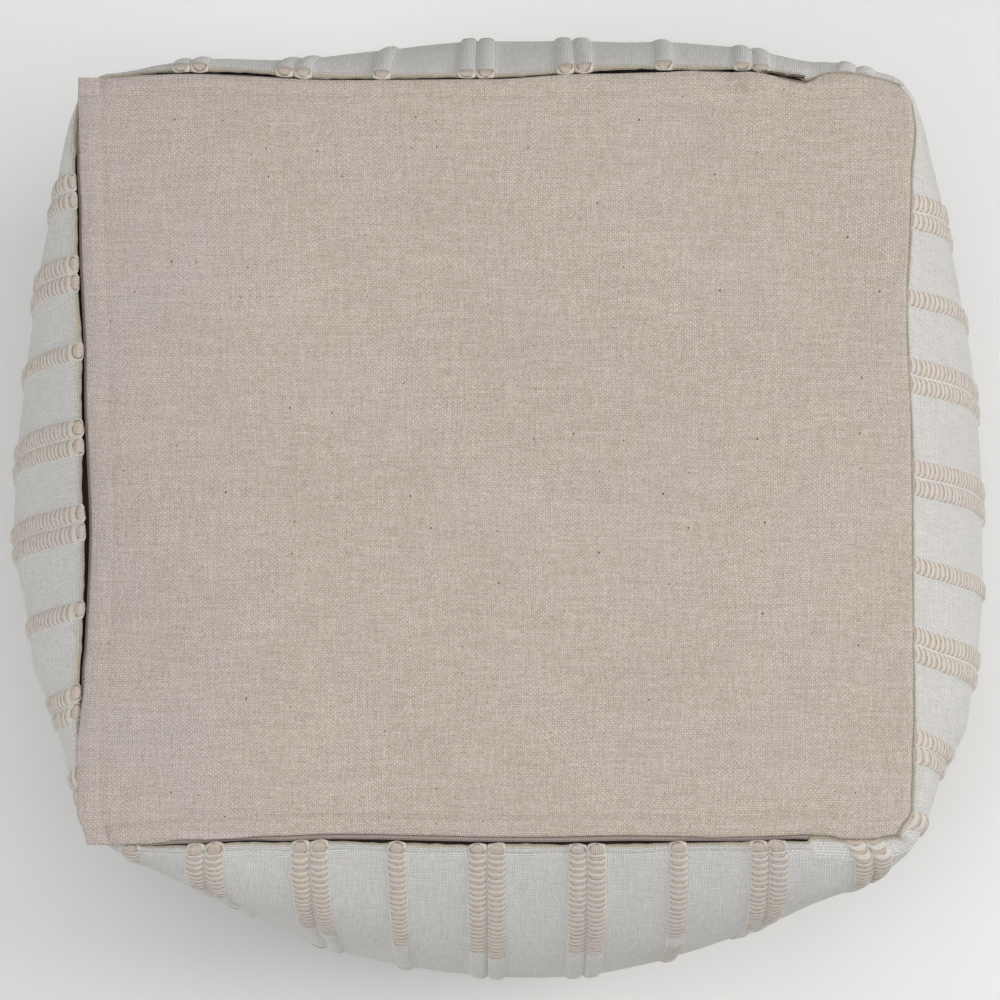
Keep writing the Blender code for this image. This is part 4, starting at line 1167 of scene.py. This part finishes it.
def corner_arc(start, end, signs):
    """Points round a corner of the zip."""
    centre_x = start[0] if abs(start[0]) < abs(end[0]) else end[0]
    centre_y = end[1] if abs(end[1]) < abs(start[1]) else start[1]
    across, along = max(abs(start[0] - end[0]), 1e-6), max(abs(start[1] - end[1]), 1e-6)
    turns = [math.pi / 2 * step / 9 for step in range(1, 9)]
    if abs(start[0]) > abs(end[0]):
        turns = [math.pi / 2 - turn for turn in turns]
    return [(centre_x + signs[0] * across * math.sin(turn), centre_y + signs[1] * along * math.cos(turn))
            for turn in turns]


def tape_reach(side, place):
    """Reach of the tape's outer edge."""
    return np.minimum(edge_reach(side, place, 1) + TAPE_PROUD[side], edge_reach(side, place, 2) - TAPE_CLEAR)


near_x = np.linspace(TAPE_END_X, -BASE_HALF_WIDTH + 2 * TAPE_CORNER, 100)
left_y = np.linspace(-BASE_HALF_DEPTH + 2 * TAPE_CORNER, BASE_HALF_DEPTH - 2 * TAPE_CORNER, 90)
near_run = [(x, -tape_reach(NEAR, x)) for x in near_x]
left_run = [(-tape_reach(LEFT, y), y) for y in left_y]
far_run = [(x, tape_reach(FAR, x)) for x in near_x[::-1]]
route = np.array(near_run + corner_arc(near_run[-1], left_run[0], (-1, -1)) + left_run
                 + corner_arc(left_run[-1], far_run[0], (-1, 1)) + far_run, float)
heading = np.gradient(route, axis=0)
heading /= np.linalg.norm(heading, axis=1)[:, None]
outward = np.column_stack((heading[:, 1], -heading[:, 0]))
if outward[0, 1] > 0:
    outward = -outward
run = np.concatenate(([0.0], np.cumsum(np.linalg.norm(np.diff(route, axis=0), axis=1))))
flat = route[:, None, :] - outward[:, None, :] * TAPE_ROWS[:, 0][None, :, None]
tape_z = base_height(flat[..., 0], flat[..., 1]) - TAPE_BELOW + TAPE_ROWS[:, 1][None, :]
bm = bmesh.new()
tape_points = np.concatenate((flat, tape_z[..., None]), axis=-1) + SHIFT
tape_cloth = np.stack((np.repeat(run[:, None], len(TAPE_ROWS), axis=1),
                       np.repeat(TAPE_ROWS[:, 0][None, :], len(run), axis=0), np.zeros_like(tape_z)), axis=-1)
bent_grid(bm, tape_points, tape_cloth)
face_outwards(bm, Vector((SHIFT[0], SHIFT[1], 0.0)))
tape = piece_from(bm, "zip_tape_cloth", zip_tape_cloth, ("zip_tape",))
thicken(tape, 0.001)
print("zip tape length", round(float(run[-1]), 3), "m")

# %% [markdown]
# The slider and its pull are only a few millimetres long. They start as cubes: the slider's nose is
# drawn in, a narrow bright bridge stands on it, and every edge gets a small bevel. The pull is a
# bar, a ring and a tab, standing on edge in the gap, and a second ring joins it to the slider.

# %% Zip slider and pull
PULL_TURN, PULL_IN = 8.5, 0.0005      # degrees and metres: the pull follows the edge of the canvas
floor_z = slider_low[2]
pull_low, pull_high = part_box("zip_pull")
middle_y, middle_z = (pull_low[1] + pull_high[1]) / 2, (pull_low[2] + pull_high[2]) / 2


def metal_block(bm, low, high, bevel, nose=1.0):
    """A bevelled block between two corners, narrower at its left end if nose is under 1."""
    made = bmesh.ops.create_cube(bm, size=1.0)
    low, high = Vector(low), Vector(high)
    bmesh.ops.scale(bm, verts=[vert for vert in made["verts"] if vert.co.x < 0], vec=(1, nose, 1))
    bmesh.ops.scale(bm, verts=made["verts"], vec=high - low)
    bmesh.ops.translate(bm, verts=made["verts"], vec=(low + high) / 2)
    bevel_edges(bm, made["verts"], bevel, 2)


def metal_ring(bm, centre, radius, wire):
    """A ring of wire standing on edge, in line with the pull: a small circle spun round a level axis."""
    start = Matrix.Translation(centre + Vector((radius, 0, 0)))
    made = bmesh.ops.create_circle(bm, radius=wire, segments=8, matrix=start)
    bmesh.ops.spin(bm, geom=made["verts"] + edges_of(made["verts"]), cent=centre, axis=(0, 1, 0),
                   angle=2 * math.pi, steps=20, use_merge=True)


def hang_pull(bm):
    """Turn the pull about its slider end, so that it follows the edge of the canvas."""
    bmesh.ops.rotate(bm, verts=bm.verts, cent=Vector((pull_low[0], middle_y, middle_z)),
                     matrix=Matrix.Rotation(math.radians(-PULL_TURN), 3, "Z"))
    bmesh.ops.translate(bm, verts=bm.verts, vec=(0, -PULL_IN, 0))


bm = bmesh.new()
metal_block(bm, (slider_low[0], slider_low[1], floor_z), (slider_high[0], slider_high[1], floor_z + 0.0018),
            0.0004, 0.72)
slider_body = piece_from(bm, "slider_body", dark_metal, ("zip_slider",))
bm = bmesh.new()
metal_block(bm, (slider_low[0] + 0.0014, slider_middle_y - 0.0011, floor_z + 0.0016),
            (slider_high[0] - 0.0006, slider_middle_y + 0.0011, slider_high[2]), 0.0005)
slider_bridge = piece_from(bm, "slider_bridge", bright_metal, ())

bm = bmesh.new()
metal_block(bm, (pull_low[0], pull_low[1] + 0.0002, pull_low[2] + 0.001),
            (pull_low[0] + 0.0105, pull_high[1] - 0.0002, pull_high[2] - 0.0008), 0.0003)
metal_block(bm, (pull_low[0] + 0.0148, pull_low[1], pull_low[2] + 0.0004),
            (pull_high[0] - 0.0008, pull_high[1], pull_high[2]), 0.0003)
hang_pull(bm)
pull_bar = piece_from(bm, "pull_bar", dark_metal, ("zip_pull",))
bm = bmesh.new()
metal_ring(bm, Vector((pull_low[0] + 0.0127, middle_y, middle_z)), 0.0019, 0.00045)
metal_block(bm, (pull_high[0] - 0.0012, pull_low[1], middle_z - 0.001),
            (pull_high[0], pull_high[1], middle_z + 0.0014), 0.0003)
metal_ring(bm, Vector((pull_low[0] - 0.0008, middle_y, middle_z + 0.0004)), 0.0014, 0.0004)
hang_pull(bm)
pull_ring = piece_from(bm, "pull_ring", bright_metal, ())
metal_pieces = (slider_body, slider_bridge, pull_bar, pull_ring)
for piece in metal_pieces:
    piece.data.set_sharp_from_angle(angle=math.radians(40))
print("zip metal pieces:", len(metal_pieces))

# %% [markdown]
# ## Floor, light and camera
# The floor is plain and pale. The light is a white room with a large soft lamp on the right, which
# makes the right side the brightest, a weaker one on the near left, and one high overhead. The camera
# looks down from the near side at 83 degrees, through a long lens, as the photograph does.

# %% Floor
bm = bmesh.new()
bmesh.ops.create_circle(bm, cap_ends=True, radius=6.0, segments=64, matrix=Matrix.Translation((0, 0, -0.0002)))
floor_finish = Finish("studio_floor", 0.9)
grain = floor_finish.noise(floor_finish.place(), 30.0, 2.0)
floor_shade = floor_finish.plus(floor_finish.times(grain, 0.02), 0.99)
floor_colour = floor_finish.shade((0.96, 0.96, 0.96), floor_shade)
floor_mesh = bpy.data.meshes.new("studio_floor")
bm.to_mesh(floor_mesh)
bm.free()
floor_mesh.materials.append(floor_finish.done(floor_colour))
floor = new_object("studio_floor", floor_mesh)


# %% Light
def soft_lamp(name, place, size, power, colour=(1.0, 1.0, 1.0)):
    """A large square lamp that looks at the pouf."""
    lamp = bpy.data.lights.new(name, "AREA")
    lamp.color = colour
    lamp.shape, lamp.size, lamp.energy = "SQUARE", size, power
    stand = new_object(name, lamp)
    stand.location = place
    stand.rotation_euler = (Vector((0, 0, 0.3)) - Vector(place)).to_track_quat("-Z", "Y").to_euler()


soft_lamp("key_lamp", (2.8, 0.2, 2.2), 1.6, 47.0, (1.0, 0.985, 0.96))
soft_lamp("left_lamp", (-2.4, -1.3, 1.5), 1.6, 19.0)
soft_lamp("top_lamp", (0.0, 0.0, 4.2), 1.6, 50.0)
room = bpy.data.worlds.new("white_room")
room.use_nodes = True
sky = room.node_tree.nodes["Background"].inputs
sky["Color"].default_value, sky["Strength"].default_value = (1.0, 1.0, 1.0, 1.0), 0.27
bpy.context.scene.world = room
bpy.context.scene.view_settings.view_transform = "Standard"

# %% Camera
VIEW_ELEVATION, VIEW_DISTANCE, MM_PER_PIXEL, SENSOR_WIDTH = 83.0, 3.2, 0.549, 36.0
target = Vector((SHIFT[0], SHIFT[1], RIM_HEIGHT))
tilt = math.radians(VIEW_ELEVATION)
eye = bpy.data.cameras.new("photo_camera")
eye.sensor_width = SENSOR_WIDTH
eye.lens = SENSOR_WIDTH * (VIEW_DISTANCE / (MM_PER_PIXEL / 1000)) / 1000
eye.shift_x, eye.shift_y = 0.002, -0.042
eye.clip_end = 50.0
camera = new_object("photo_camera", eye)
camera.location = target + Vector((0, -math.cos(tilt), math.sin(tilt))) * VIEW_DISTANCE
camera.rotation_euler = (target - camera.location).to_track_quat("-Z", "Y").to_euler()
bpy.context.scene.camera = camera
print("lens", round(eye.lens, 1), "mm")
